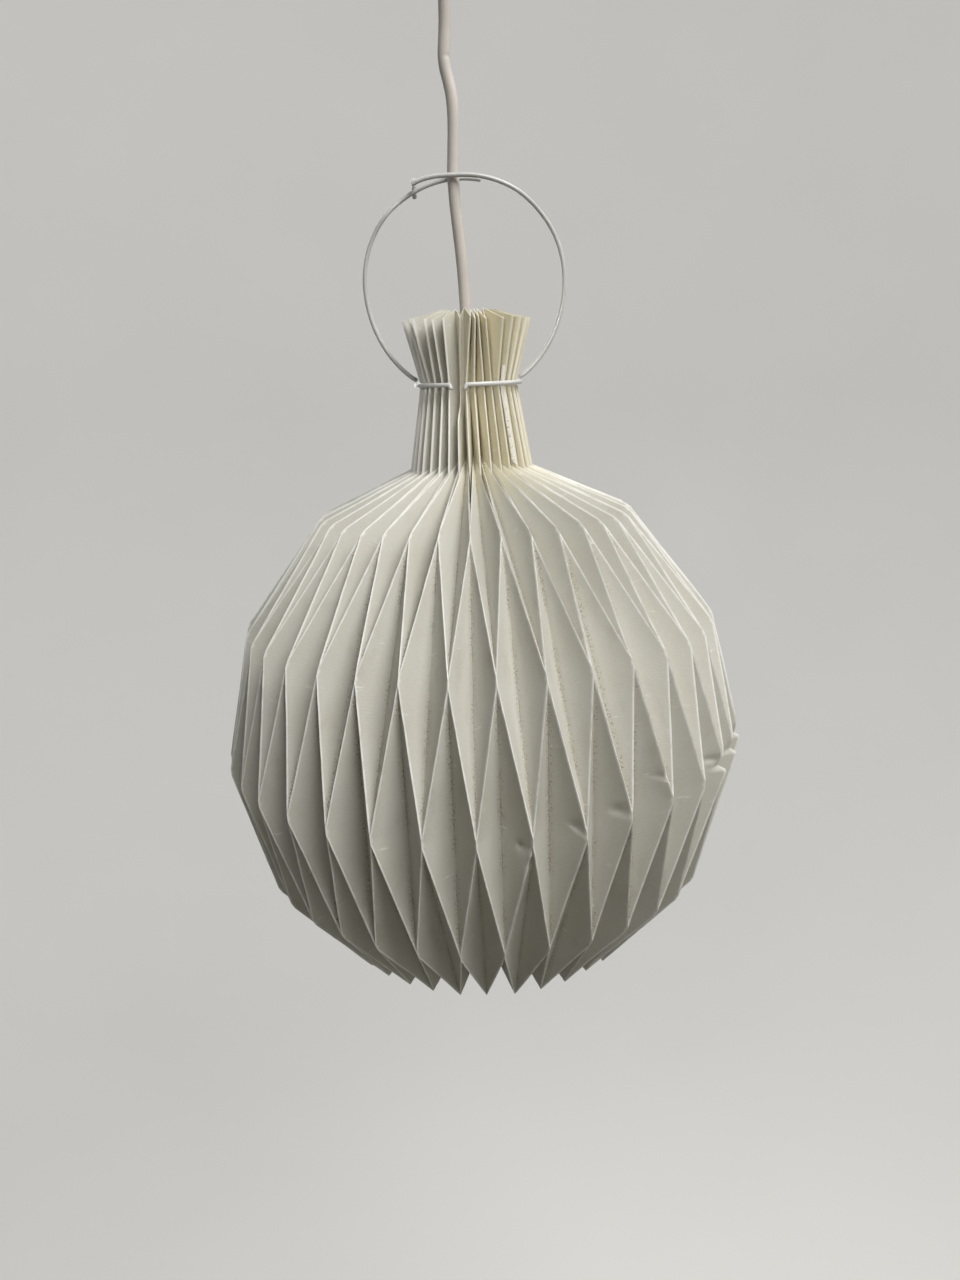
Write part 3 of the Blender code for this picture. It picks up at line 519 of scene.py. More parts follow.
class Palette:
    """Every finish of the lantern, by its slot."""

    def __init__(self, effects: Effects) -> None:
        """Build the materials.

        Args:
            effects: The shared node groups.
        """
        finishes = {
            Slot.PAPER: PaperFinish(
                "folded_paper", (0.750, 0.745, 0.690), (0.725, 0.712, 0.645), (0.97, 0.965, 0.945),
                (0.47, 0.43, 0.33), (0.21, 0.16, 0.09), (0.86, 0.815, 0.65)),
            Slot.TAPE: PaperFinish(
                "tape_paper", (0.97, 0.97, 0.95), (0.95, 0.945, 0.92), (0.97, 0.97, 0.96),
                (0.80, 0.78, 0.70), (0.32, 0.28, 0.20), (0.97, 0.965, 0.94), 0.6, 0.1),
            Slot.WIRE: CoatedFinish(
                "dipped_wire", (0.52, 0.52, 0.51), (0.44, 0.44, 0.43), 0.28, 700.0, 0.70, 0.2, 0.2,
                (0.30, 0.30, 0.29)),
            Slot.FLEX: CoatedFinish(
                "flex_sheath", (0.56, 0.52, 0.48), (0.52, 0.485, 0.445), 0.42, 500.0, 0.78, 0.25),
            Slot.PLASTIC: CoatedFinish(
                "moulded_plastic", (0.82, 0.82, 0.79), (0.79, 0.785, 0.74), 0.33, 1200.0, 0.80, 0.3),
            Slot.CERAMIC: CoatedFinish(
                "glazed_ceramic", (0.84, 0.83, 0.79), (0.80, 0.79, 0.74), 0.16, 600.0, 0.80, 0.2, 0.4),
            Slot.INSULATOR: CoatedFinish(
                "black_insulator", (0.02, 0.02, 0.022), (0.035, 0.034, 0.033), 0.14, 700.0, 0.80, 0.3, 0.3,
                (0.06, 0.06, 0.06)),
            Slot.BOARD: CoatedFinish(
                "light_board", (0.76, 0.77, 0.75), (0.72, 0.73, 0.70), 0.38, 800.0, 0.80, 0.1),
            Slot.GLOBE: CoatedFinish(
                "opal_globe", (0.88, 0.875, 0.84), (0.86, 0.85, 0.81), 0.30, 1400.0, 0.85, 0.35, 0.0,
                (0.80, 0.79, 0.75), 0.05),
            Slot.BLUE: CoatedFinish(
                "blue_core", (0.08, 0.20, 0.52), (0.07, 0.17, 0.45), 0.40, 900.0, 0.85, 0.1),
            Slot.BROWN: CoatedFinish(
                "brown_core", (0.27, 0.13, 0.06), (0.23, 0.11, 0.05), 0.40, 900.0, 0.85, 0.1),
            Slot.STEEL: MetalFinish("zinc_steel", (0.62, 0.62, 0.60), (0.45, 0.45, 0.44), 0.30),
            Slot.BRASS: MetalFinish("plain_brass", (0.78, 0.60, 0.30), (0.50, 0.36, 0.17), 0.26),
        }
        self.materials = {slot: finish.build(effects) for slot, finish in finishes.items()}

    def dress(self, piece: bpy.types.Object, slot: Slot) -> None:
        """Give a piece the finish of a slot.

        Args:
            piece: A new piece or a node of the frame.
            slot: The finish to give it.
        """
        piece.data.materials.clear()
        piece.data.materials.append(self.materials[slot])


@dataclass(frozen=True)
class Span:
    """The upright space that a round node of the frame takes up."""

    axis_x: float
    radius: float
    top: float
    bottom: float

    @classmethod
    def of(cls, node: str) -> "Span":
        """Return the space of a node.

        Args:
            node: The node's name.
        """
        low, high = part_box(node)
        return cls((low.x + high.x) / 2.0, (high.x - low.x) / 2.0, high.z, low.z)


def ease(value: float, start: float, end: float) -> float:
    """Return 0 before the start, 1 past the end and a smooth step between.

    Args:
        value: The value.
        start: Where the step starts.
        end: Where it ends.
    """
    t = min(1.0, max(0.0, (value - start) / (end - start)))
    return t * t * (3.0 - 2.0 * t)


def round_axis(axis_x: float, radius: float, angle: float, height: float) -> Vector:
    """Return a place round an upright axis.

    Args:
        axis_x: The axis's place in X.
        radius: Distance from it.
        angle: Angle from the front towards +X.
        height: The place's height.
    """
    return Vector((axis_x + radius * math.sin(angle), -radius * math.cos(angle), height))


def quarter(steps: int) -> list[float]:
    """Return angles from 0 to a quarter turn.

    Args:
        steps: How many steps the quarter has.
    """
    return [math.pi / 2.0 * i / steps for i in range(steps + 1)]


def mesh_of(name: str, points: list | np.ndarray, faces: list, smooth: float | None = 35.0) -> bpy.types.Mesh:
    """Return a mesh of points and faces.

    Args:
        name: The mesh's name.
        points: Its points.
        faces: Point numbers of each face.
        smooth: Angle in degrees above which edges stay sharp, or None where they are marked elsewhere.
    """
    mesh = bpy.data.meshes.new(name)
    mesh.from_pydata([tuple(point) for point in points], [], faces)
    mesh.shade_smooth()
    if smooth is not None:
        mesh.set_sharp_from_angle(angle=math.radians(smooth))
    return mesh


def eased_corners(profile: Profile, radius: float, steps: int = 4) -> Profile:
    """Return a closed profile with its corners rounded.

    Args:
        profile: Points of (radius, height).
        radius: How far from a corner the rounding starts.
        steps: Points along each rounding.
    """
    straight = math.radians(155.0)
    eased = []
    for i, (x, z) in enumerate(profile):
        here = Vector((x, z))
        before = Vector(profile[i - 1]) - here
        after = Vector(profile[(i + 1) % len(profile)]) - here
        if x == 0.0 or min(before.length, after.length) < TINY or before.angle(after) > straight:
            eased.append((x, z))
            continue
        start = here + before * min(0.45, radius / before.length)
        end = here + after * min(0.45, radius / after.length)
        for k in range(steps + 1):
            t = k / steps
            point = start * (1.0 - t) ** 2 + here * 2.0 * t * (1.0 - t) + end * t ** 2
            eased.append((point.x, point.y))
    return eased


def turned_mesh(name: str, profile: Profile, axis_x: float = 0.0, steps: int = 96,
                reshape: Reshape | None = None) -> bpy.types.Mesh:
    """Return a profile turned round a vertical axis.

    Args:
        name: The mesh's name.
        profile: Points of (radius, height), down the outside; it starts on the axis or is closed.
        axis_x: The axis's place in X.
        steps: Facets round the axis.
        reshape: Function of radius, angle and height that gives the radius there, or None.
    """
    points = []
    rows = []
    for radius, height in profile:
        if radius == 0.0:
            rows.append([len(points)] * steps)
            points.append((axis_x, 0.0, height))
            continue
        rows.append(list(range(len(points), len(points) + steps)))
        for k in range(steps):
            angle = TURN * k / steps
            wide = reshape(radius, angle, height) if reshape else radius
            points.append((axis_x + wide * math.cos(angle), wide * math.sin(angle), height))
    pairs = list(zip(rows, rows[1:]))
    if profile[0][0] > 0.0:
        pairs.append((rows[-1], rows[0]))
    faces = []
    for upper, lower in pairs:
        for k in range(steps):
            m = (k + 1) % steps
            faces.append(list(dict.fromkeys((upper[k], lower[k], lower[m], upper[m]))))
    return mesh_of(name, points, faces)


def flutes(count: int, depth: float, inside: float, low: float, high: float, fade: float) -> Reshape:
    """Return the function that cuts upright flutes into the outside of a turned piece.

    Args:
        count: How many flutes.
        depth: How deep they are.
        inside: Radius below which nothing is cut.
        low: Where the flutes end below.
        high: Where they end above.
        fade: Length over which they run out.
    """
    def reshape(radius: float, angle: float, height: float) -> float:
        """Return the radius with its flute cut in."""
        if radius < inside or not low < height < high:
            return radius
        share = min(1.0, (height - low) / fade, (high - height) / fade)
        return radius - depth * share * (0.5 + 0.5 * math.cos(count * angle))

    return reshape


def smooth_route(points: list, step: float) -> list[Vector]:
    """Return points about a step apart on a smooth curve through a route.

    Args:
        points: The route's own points.
        step: The wanted spacing.
    """
    route = [Vector(point) for point in points]
    padded = [2.0 * route[0] - route[1]] + route + [2.0 * route[-1] - route[-2]]
    sampled = []
    for before, start, end, after in zip(padded, padded[1:], padded[2:], padded[3:]):
        pieces = max(1, round((end - start).length / step))
        for i in range(pieces):
            t = i / pieces
            sampled.append(0.5 * (2.0 * start + (end - before) * t
                                  + (2.0 * before - 5.0 * start + 4.0 * end - after) * t ** 2
                                  + (3.0 * start - before - 3.0 * end + after) * t ** 3))
    sampled.append(route[-1])
    return sampled


def tube_mesh(name: str, points: list[Vector], radius: float, sides: int = 20, dome: float = 0.6,
              squeeze: Callable[[Vector, Vector], float] | None = None) -> bpy.types.Mesh:
    """Return a round tube along points, with domed ends.

    Args:
        name: The mesh's name.
        points: The tube's centre line.
        radius: Its radius.
        sides: Facets round it.
        dome: Height of its end domes, in radii.
        squeeze: Function of a point and an outward direction that gives the radius a factor, or None.
    """
    last = len(points) - 1
    tangents = [(points[min(i + 1, last)] - points[max(i - 1, 0)]).normalized() for i in range(last + 1)]
    dome_turns = (0.5, 1.0)
    side = tangents[0].orthogonal().normalized()
    rings = []
    for i, (centre, along) in enumerate(zip(points, tangents)):
        side = (side - along * side.dot(along)).normalized()
        across = along.cross(side)
        stages = [(0.0, 1.0)]
        if i == 0:
            stages = [(-dome * math.cos(a), math.sin(a)) for a in dome_turns] + stages
        if i == last:
            stages = stages + [(dome * math.cos(a), math.sin(a)) for a in reversed(dome_turns)]
        for shift, share in stages:
            ring = []
            for k in range(sides):
                angle = TURN * k / sides
                out = side * math.cos(angle) + across * math.sin(angle)
                factor = squeeze(centre, out) if squeeze else 1.0
                ring.append(centre + along * (shift * radius) + out * (radius * share * factor))
            rings.append(ring)
    verts = [point for ring in rings for point in ring]
    first = len(verts)
    tail = first - sides
    faces = []
    for row in range(0, tail, sides):
        for k in range(sides):
            m = (k + 1) % sides
            faces.append((row + k, row + m, row + sides + m, row + sides + k))
    for k in range(sides):
        m = (k + 1) % sides
        faces.append((first, m, k))
        faces.append((first + 1, tail + k, tail + m))
    verts.append(points[0] - tangents[0] * (dome * radius))
    verts.append(points[-1] + tangents[-1] * (dome * radius))
    return mesh_of(name, verts, faces, 60.0)


class Workshop:
    """Makes pieces and sets them in the frame."""

    def __init__(self, frame: dict, palette: Palette) -> None:
        """Keep the frame and the finishes.

        Args:
            frame: What the frame's load call returns.
            palette: The finishes.
        """
        self.frame = frame
        self.palette = palette

    def add(self, name: str, mesh: bpy.types.Mesh, slot: Slot, body: Body, node: str) -> bpy.types.Object:
        """Make a piece that rides on a body and stands for a node of the frame.

        Args:
            name: The piece's name.
            mesh: Its mesh, in the frame's coordinates.
            slot: Its finish.
            body: The body it rides on.
            node: The node that it stands for.

        Returns:
            The new piece.
        """
        piece = bpy.data.objects.new(name, mesh)
        bpy.context.scene.collection.objects.link(piece)
        self.palette.dress(piece, slot)
        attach(piece, body.value)
        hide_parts(node)
        LOG.info("%s rides on %s, %d faces", name, body.value, len(mesh.polygons))
        return piece

    def turn(self, name: str, profile: Profile, slot: Slot, body: Body, node: str, steps: int = 96,
             reshape: Reshape | None = None) -> None:
        """Make a piece by turning a profile round the axis of the node that it stands for.

        Args:
            name: The piece's name.
            profile: Points of (radius, height).
            slot: Its finish.
            body: The body it rides on.
            node: The node.
            steps: Facets round the axis.
            reshape: Function that gives the radius at a place, or None.
        """
        mesh = turned_mesh(name, profile, Span.of(node).axis_x, steps, reshape)
        self.add(name, mesh, slot, body, node)

    def keep(self, slot: Slot, *nodes: str, bevel: float = 0.0) -> None:
        """Give nodes of the frame that stay in view their finish and eased edges.

        Args:
            slot: Their finish.
            *nodes: The nodes' names.
            bevel: Width of the eased edges, or 0 for none.
        """
        for node in nodes:
            piece = self.frame["nodes"][node]
            piece.data.shade_smooth()
            piece.data.set_sharp_from_angle(angle=math.radians(35.0))
            if bevel:
                edge = piece.modifiers.new("eased_edges", "BEVEL")
                edge.width = bevel
                edge.segments = 2
            self.palette.dress(piece, slot)
            LOG.info("%s keeps its own shape", node)


@dataclass
class Assembly:
    """A group of pieces that a workshop makes."""

    workshop: Workshop

    def build(self) -> None:
        """Build the pieces and set them in the frame."""
        raise NotImplementedError


@dataclass(frozen=True)
class Dent:
    """A spot of the sheet pushed in beside a node of the widest ring.

    Places are flat on the sheet and in millimetres from the node: across to the right, along towards the
    hem. The crease under the dent falls to the right by its tilt, in degrees.
    """

    pleat: int
    across: float
    along: float
    width: float
    above: float
    below: float
    depth: float
    tilt: float = 0.0

    def push(self, across: float, along: float) -> float:
        """Return how far a point is pushed in, in metres.

        Args:
            across: The point's place from the node in metres, to the right.
            along: The point's place from the node in metres, towards the hem.
        """
        turn = math.radians(self.tilt)
        away = across / MM - self.across
        drop = along / MM - self.along
        side = (away * math.cos(turn) + drop * math.sin(turn)) / self.width
        rise = drop * math.cos(turn) - away * math.sin(turn)
        rise /= self.below if rise > 0.0 else self.above
        return self.depth * MM * math.exp(-side * side - rise * rise)


@dataclass(frozen=True)
class Tuck:
    """A fold of the neck that is pressed in where the collar is open."""

    pleat: int = -1
    depth: float = 6.5 * MM
    start: float = -232.0 * MM
    end: float = -243.0 * MM

    def push(self, share: float, flat: float) -> float:
        """Return how far a point is pressed in.

        Args:
            share: How far the point lies from the fold to its neighbours.
            flat: The point's place along the sheet.
        """
        return self.depth * (1.0 - share) * ease(flat, self.start, self.end)


@dataclass
class PaperShade(Assembly):
    """The cross-pleated sheet: its fold pattern, its fine mesh and its wear."""

    axis_x: float
    pleats: int = 36
    first_pleat: float = math.radians(-1.5)
    strip_width: float = 18.9 * MM
    ring_step: float = 71.5
    thickness: float = 0.36 * MM
    node_ridge: float = 1.8 * MM
    row_pitch: float = 3.4 * MM
    dent_pitch: float = 1.0 * MM
    dent_zone: float = 19.0 * MM
    # How far a panel curves in, as a share of the trough that it is half of
    trough: float = 0.18
    front_trough: float = 0.54
    front_spread: float = math.radians(30.0)
    trough_depth: float = 0.82
    ripple: float = 0.30 * MM
    # The small round nose that each fold of the neck ends in
    nose: float = 0.21 * MM
    nose_share: float = 0.035
    # The right side stands a little further out, and its widest ring is pushed up between these degrees
    bulge: float = 1.2 * MM
    raise_height: float = 4.6 * MM
    raise_turns: tuple = (20.0, 34.0, 100.0, 135.0)
    seed: int = 11
    # How unevenly the nodes stand, at most: turn in degrees, then distance and height in millimetres
    uneven: tuple = (0.22, 0.4, 0.6)
    # Nodes in millimetres: distance from the axis and height above the widest ring
    tip_fold: tuple = ((33.6, 229.0), (25.5, 197.0), (35.2, 138.0), (83.4, 129.5), (143.4, 0.0),
                       (84.0, -117.0))
    lower_notches: tuple = ((12.5, 161.5), (127.8, 71.5), (124.5, -68.5), (74.0, -102.5))
    # Shares of the strip's width where the mesh has its lines, close together beside the folds
    lines: tuple = (0.0, 0.035, 0.08, 0.15, 0.23, 0.32, 0.44, 0.56, 0.68, 0.77, 0.85, 0.92, 0.965)
    # How far the front tips of the flare lean from their even places, in degrees, from the first pleat on
    flare_lean: tuple = (-4.5, 2.3, 0.9, 1.2, 4.8, 5.1, -1.0, -8.2, -11.9, -4.7, -3.5, -2.1)
    first_lean: int = -5
    # The front pleats of the neck are pressed shallow where the collar is open
    pressed: tuple = (10.5 * MM, 13.5 * MM, 5.0 * MM)
    pressed_middle: float = math.radians(2.0)
    pressed_spread: float = math.radians(25.0)
    tuck: Tuck = Tuck()
    dents: tuple = (
        Dent(1, -4.5, 5.5, 3.6, 3.2, 1.5, 4.6, -20.0),
        Dent(1, -2.0, 12.0, 2.6, 2.6, 1.2, 2.0, 30.0),
        Dent(2, -3.6, -1.5, 3.4, 4.2, 0.9, 2.6, 28.0),
        Dent(3, -5.0, -2.0, 4.4, 3.2, 1.7, 2.3, 14.0),
        Dent(4, -4.5, -12.0, 3.6, 2.6, 0.9, 1.5, 22.0),
        Dent(6, -6.0, -6.0, 4.0, 2.8, 0.9, 1.8, 16.0),
        Dent(6, 0.5, -1.0, 4.6, 5.0, 0.8, 3.8),
        Dent(7, 0.5, -1.0, 4.6, 5.0, 0.8, 3.8),
        Dent(8, 0.5, -1.0, 4.2, 4.4, 0.8, 3.2),
    )
    # Pairs of (tip fold node, notch fold node) that the ridges and bends join across each strip, top to hem
    rungs: tuple = ((0, 0), (1, 1), (2, 1), (2, 2), (3, 2), (4, 3), (5, 4), (6, 5), (7, 6), (7, 7))
    first_ridge: int = 3
    # Panels along a tip fold and along a notch fold where the fold stays crisp
    crisp_panels: tuple = ((0, 1, 2, 4, 6), (0, 1, 2, 5, 7))
    # Nodes that a fold draws out into short ridges, and each such ridge's second node, which shares its shift
    drawn_out: tuple = (3, 4)
    paired: tuple = (4, 6)

    def square_notch(self, tip: tuple, next_tip: tuple) -> tuple[float, float]:
        """Return the notch one strip width in from a tip, square to the fold.

        Args:
            tip: The tip's (radius, height) in millimetres.
            next_tip: The next tip down.
        """
        run = (Vector(next_tip) - Vector(tip)).normalized()
        width = self.strip_width / MM
        return (tip[0] + width * run.y, tip[1] - width * run.x)

    def fold_nodes(self) -> tuple[list, list]:
        """Work out the nodes of the two kinds of fold.

        Returns:
            The tip fold and the notch fold, each a list of (radius, height, place along the flat sheet).
        """
        tips = list(self.tip_fold)
        notches = [self.square_notch(*tips[:2]), self.square_notch(*tips[1:3]), *self.lower_notches]
        tip_flat = self.flat_places(tips, 4, 0.0)
        notch_flat = self.flat_places(notches, 3, -self.ring_step)
        notch_flat[:2] = tip_flat[:2]
        notch_flat[-1] = tip_flat[-1]
        return self.split_nodes(tips, tip_flat), self.split_nodes(notches, notch_flat)

    @staticmethod
    def flat_places(fold: list, known: int, place: float) -> list[float]:
        """Return each node's place along the flat sheet, counted along its fold.

        Args:
            fold: The fold's (radius, height) nodes.
            known: The node whose place is known.
            place: That place.
        """
        lengths = [math.dist(a, b) for a, b in zip(fold, fold[1:])]
        return [place - sum(lengths[i:known]) + sum(lengths[known:i]) for i in range(len(fold))]

    def split_nodes(self, fold: list, flat: list[float]) -> list[tuple[float, float, float]]:
        """Return a fold's nodes in metres, with its two ring nodes drawn out into short ridges.

        Args:
            fold: The fold's (radius, height) nodes in millimetres.
            flat: Their places along the sheet.
        """
        nodes = []
        for i, (node, place) in enumerate(zip(fold, flat)):
            here = Vector(node) * MM
            if i not in self.drawn_out:
                nodes.append((here.x, here.y, place * MM))
                continue
            up = (Vector(fold[i - 1]) * MM - here).normalized()
            down = (Vector(fold[i + 1]) * MM - here).normalized()
            along = (down - up).normalized()
            for shift in (-self.node_ridge, self.node_ridge):
                point = here + along * shift
                nodes.append((point.x, point.y, place * MM + shift))
        return nodes

    def lean(self, pleat: int, node: int, rng: random.Random) -> float:
        """Return how far a tip fold's node leans from its even place round the shade, in degrees.

        Args:
            pleat: The pleat's number.
            node: The node's number from the top.
            rng: The random draws.
        """
        if node == 0:
            drawn = rng.uniform(-3.0, 3.0)
            turn = (pleat - self.first_lean) % self.pleats
            return self.flare_lean[turn] if turn < len(self.flare_lean) else drawn
        if node == 1:
            return rng.uniform(-2.2, -0.4)
        return rng.uniform(-self.uneven[0], self.uneven[0])

    def drift(self, rng: random.Random) -> tuple[float, float]:
        """Draw how far a node stands out and up from its even place.

        Args:
            rng: The random draws.
        """
        _, wide, high = self.uneven
        return rng.uniform(-wide, wide) * MM, rng.uniform(-high, high) * MM

    def place_tips(self, pleat: int, tips: list, rng: random.Random) -> tuple[list, list]:
        """Return one tip fold's angles, and its placed nodes with their flat places.

        Args:
            pleat: The pleat's number.
            tips: The tip fold's even nodes.
            rng: The random draws.
        """
        even = self.first_pleat + pleat * TURN / self.pleats
        angles = []
        placed = []
        for node, (radius, height, flat) in enumerate(tips):
            if node not in self.paired:
                turn = math.radians(self.lean(pleat, node, rng))
                wide, high = self.drift(rng)
            if node < 2:
                wide = -abs(wide)
                high = 1.4 * high if node == 0 else 0.0
            if 3 <= node <= 6:
                radius += self.bulge * math.sin(even)
            if 5 <= node <= 6:
                height += self.raised(even)
            angles.append(even + turn)
            placed.append((self.ring_point(radius + wide, even + turn, height + high), flat))
        return angles, placed

    def place_notches(self, pleat: int, notches: list, angles: list, rng: random.Random) -> list:
        """Return the placed nodes of the notch fold after a pleat's tip fold, with their flat places.

        Args:
            pleat: The pleat's number.
            notches: The notch fold's even nodes.
            angles: The angles of every tip fold's nodes.
            rng: The random draws.
        """
        ahead = (pleat + 1) % self.pleats
        wrap = TURN if ahead == 0 else 0.0
        placed = []
        for node, (radius, height, flat) in enumerate(notches):
            if node not in self.paired:
                turn = math.radians(rng.uniform(-self.uneven[0], self.uneven[0]))
                wide, high = self.drift(rng)
            even = self.first_pleat + (pleat + 0.5) * TURN / self.pleats
            if node < 2:
                even = (angles[pleat][node] + angles[ahead][node] + wrap) / 2.0
            if node < len(self.pressed):
                front = math.remainder(even - self.pressed_middle, TURN) / self.pressed_spread
                radius += self.pressed[node] * math.exp(-front * front)
            if 3 <= node <= 4:
                radius += self.bulge * math.sin(even)
            placed.append((self.ring_point(radius + wide, even + turn, height + high), flat))
        return placed

    def columns(self) -> list[list[tuple[Vector, float]]]:
        """Return the placed nodes of every fold round the shade, with their flat places."""
        rng = random.Random(self.seed)
        tips, notches = self.fold_nodes()
        tip_rows = [self.place_tips(pleat, tips, rng) for pleat in range(self.pleats)]
        angles = [turned for turned, _ in tip_rows]
        columns = []
        for pleat, (_, placed) in enumerate(tip_rows):
            columns += [placed, self.place_notches(pleat, notches, angles, rng)]
        return columns

    def raised(self, angle: float) -> float:
        """Return how far the widest ring is pushed up at an angle round the shade.

        Args:
            angle: The angle in radians.
        """
        turn = math.degrees(math.remainder(angle, TURN))
        start, full, fade, end = self.raise_turns
        share = min((turn - start) / (full - start), (end - turn) / (end - fade))
        return self.raise_height * ease(share, 0.0, 1.0)

    def ring_point(self, radius: float, angle: float, height: float) -> Vector:
        """Return the place at an angle round the shade, counted from the front towards +X.

        Args:
            radius: Distance from the shade's axis.
            angle: The angle in radians.
            height: Height above the widest ring.
        """
        return round_axis(self.axis_x, radius, angle, RING_Z + height)

    def levels(self) -> list[float]:
        """Return the places along the sheet where the mesh has rows, close together round the dents."""
        tips, _ = self.fold_nodes()
        place = tips[0][2]
        rows = []
        while place < tips[-1][2]:
            rows.append(place)
            place += self.dent_pitch if -self.dent_zone < place < 0.4 * self.dent_zone else self.row_pitch
        return rows

    def line_points(self, column: int, place: float, columns: list, levels: list[float], soft: float) -> list:
        """Return the points of one line down the sheet, panel by panel.

        Args:
            column: The strip's number.
            place: The line's share across the strip.
            columns: The placed folds.
            levels: Where the mesh has rows.
            soft: How far this strip's panels curve in, against the usual.

        Returns:
            For each panel, its points from the upper rung to the lower: place, flat place, and distance
            to the rungs above and below.
        """
        width = self.strip_width
        ahead = (column + 1) % len(columns)
        tips, notches, share, side = columns[column], columns[ahead], place, 1.0
        if column % 2:
            tips, notches, share, side = notches, tips, 1.0 - place, -1.0
        tucked = 2 * (self.tuck.pleat % self.pleats) in (column, ahead)
        marks = []
        rises = []
        for tip, notch in self.rungs:
            rise = notches[notch][1] - tips[tip][1]
            marks.append((tips[tip][0].lerp(notches[notch][0], share), tips[tip][1] + rise * share))
            rises.append(rise)
        near = 0.35 * self.dent_pitch
        panels = []
        for i, ((upper, start), (lower, end)) in enumerate(zip(marks, marks[1:])):
            length = end - start
            flats = [start] + [flat for flat in levels if start + near < flat < end - near]
            if length > TINY:
                flats.append(end)
            row = []
            for flat in flats:
                point = upper.lerp(lower, (flat - start) / length if length > TINY else 0.0)
                if i >= self.first_ridge:
                    valley = (share if i % 2 else 1.0 - share) * width
                    ridge = min((flat - start) * width / max(abs(rises[i]), MM),
                                (end - flat) * width / max(abs(rises[i + 1]), MM))
                    if valley + ridge > TINY:
                        hollow = soft * self.trough_depth * valley * ridge / (valley + ridge)
                        point = point - self.outward(point) * hollow
                else:
                    if tucked:
                        point = point - self.outward(point) * self.tuck.push(share, flat)
                    point = self.nosed(point, share, side)
                above = (flat - start) * width / math.hypot(width, rises[i])
                below = (end - flat) * width / math.hypot(width, rises[i + 1])
                row.append((self.worn(point, (column + place) * width, flat), flat, above, below))
            panels.append(row)
        return panels

    def nosed(self, point: Vector, share: float, side: float) -> Vector:
        """Return a point of the neck moved on to the round nose of its fold.

        Args:
            point: The point on its flat strip.
            share: How far it lies from the fold across the strip.
            side: 1 for the strip to the right of the fold, -1 to the left.
        """
        reach = share / self.nose_share
        swell = self.nose * reach * math.exp(1.0 - reach)
        out = self.outward(point)
        return point + Vector((-out.y, out.x, 0.0)) * (side * swell) + out * swell

    def outward(self, point: Vector) -> Vector:
        """Return the level direction from the shade's axis to a point.

        Args:
            point: The point.
        """
        return Vector((point.x - self.axis_x, point.y, 0.0)).normalized()

    def worn(self, point: Vector, across: float, flat: float) -> Vector:
        """Return a point of the sheet with its ripple and its dents.

        Args:
            point: The point on its smooth panel.
            across: Its place across the flat sheet.
            flat: Its place along the flat sheet.
        """
        wave = noise.noise(point * 38.0) + 0.5 * noise.noise(point * 95.0)
        calm = min(1.0, max(0.12, (flat + 190.0 * MM) / (50.0 * MM)))
        move = self.ripple * wave * calm
        if abs(flat) < 1.6 * self.dent_zone:
            girth = 2 * self.pleats * self.strip_width
            for dent in self.dents:
                side = across - 2 * dent.pleat * self.strip_width
                side -= girth * round(side / girth)
                move -= dent.push(side, flat) * (1.0 + 0.35 * noise.noise(point * 160.0))
        return point + self.outward(point) * move

    def sheet_mesh(self) -> bpy.types.Mesh:
        """Return the folded sheet as a thin closed mesh with its flat map and fold distances."""
        columns = self.columns()
        levels = self.levels()
        rng = random.Random(self.seed + 1)
        points: list[Vector] = []
        grid = []
        for column in range(len(columns)):
            turn = math.remainder(self.first_pleat + (column + 0.5) * math.pi / self.pleats, TURN)
            soft = self.trough + self.front_trough * math.exp(-(turn / self.front_spread) ** 2)
            soft *= rng.uniform(0.75, 1.25)
            for place in self.lines:
                numbered = []
                for number, panel in enumerate(self.line_points(column, place, columns, levels, soft)):
                    row = []
                    for k, (point, *rest) in enumerate(panel):
                        if number == 0 or k > 0:
                            points.append(point)
                        row.append((len(points) - 1, *rest))
                    numbered.append(row)
                grid.append(numbered)
        faces: list[tuple[int, ...]] = []
        corners: list[tuple[float, ...]] = []
        sharp: set[tuple[int, int]] = set()
        places = (*self.lines, 1.0)
        for line, left in enumerate(grid):
            column, i = divmod(line, len(self.lines))
            right = grid[(line + 1) % len(grid)]
            self.join_lines((left, right), column, places[i:i + 2], faces, corners, sharp)
            if i == 0:
                for panel in self.crisp_panels[column % 2]:
                    sharp.update((upper[0], lower[0]) for upper, lower in zip(left[panel], left[panel][1:]))
        return self.closed_sheet(points, faces, corners, sharp, grid)

    def join_lines(self, pair: tuple, column: int, places: tuple, faces: list, corners: list,
                   sharp: set) -> None:
        """Fill the panels between two neighbouring lines with faces.

        Args:
            pair: The left and the right line's numbered panels.
            column: The strip's number.
            places: Both lines' shares across the strip.
            faces: Takes the new faces.
            corners: Takes each corner's flat place and fold distances.
            sharp: Takes the edges that stay crisp.
        """
        width = self.strip_width

        def corner(line: int, step: int) -> tuple:
            """Return a point's number, flat place and distances to the folds of the current panel."""
            number, flat, above, below = pair[line][panel][step]
            share = places[line]
            from_tip = 1.0 - share if column % 2 else share
            if panel < self.first_ridge:
                above = below = from_tip * width
                valley = 1.0
            else:
                valley = from_tip if panel % 2 else 1.0 - from_tip
            return (number, (column + share) * width, flat, above, below, valley * width)

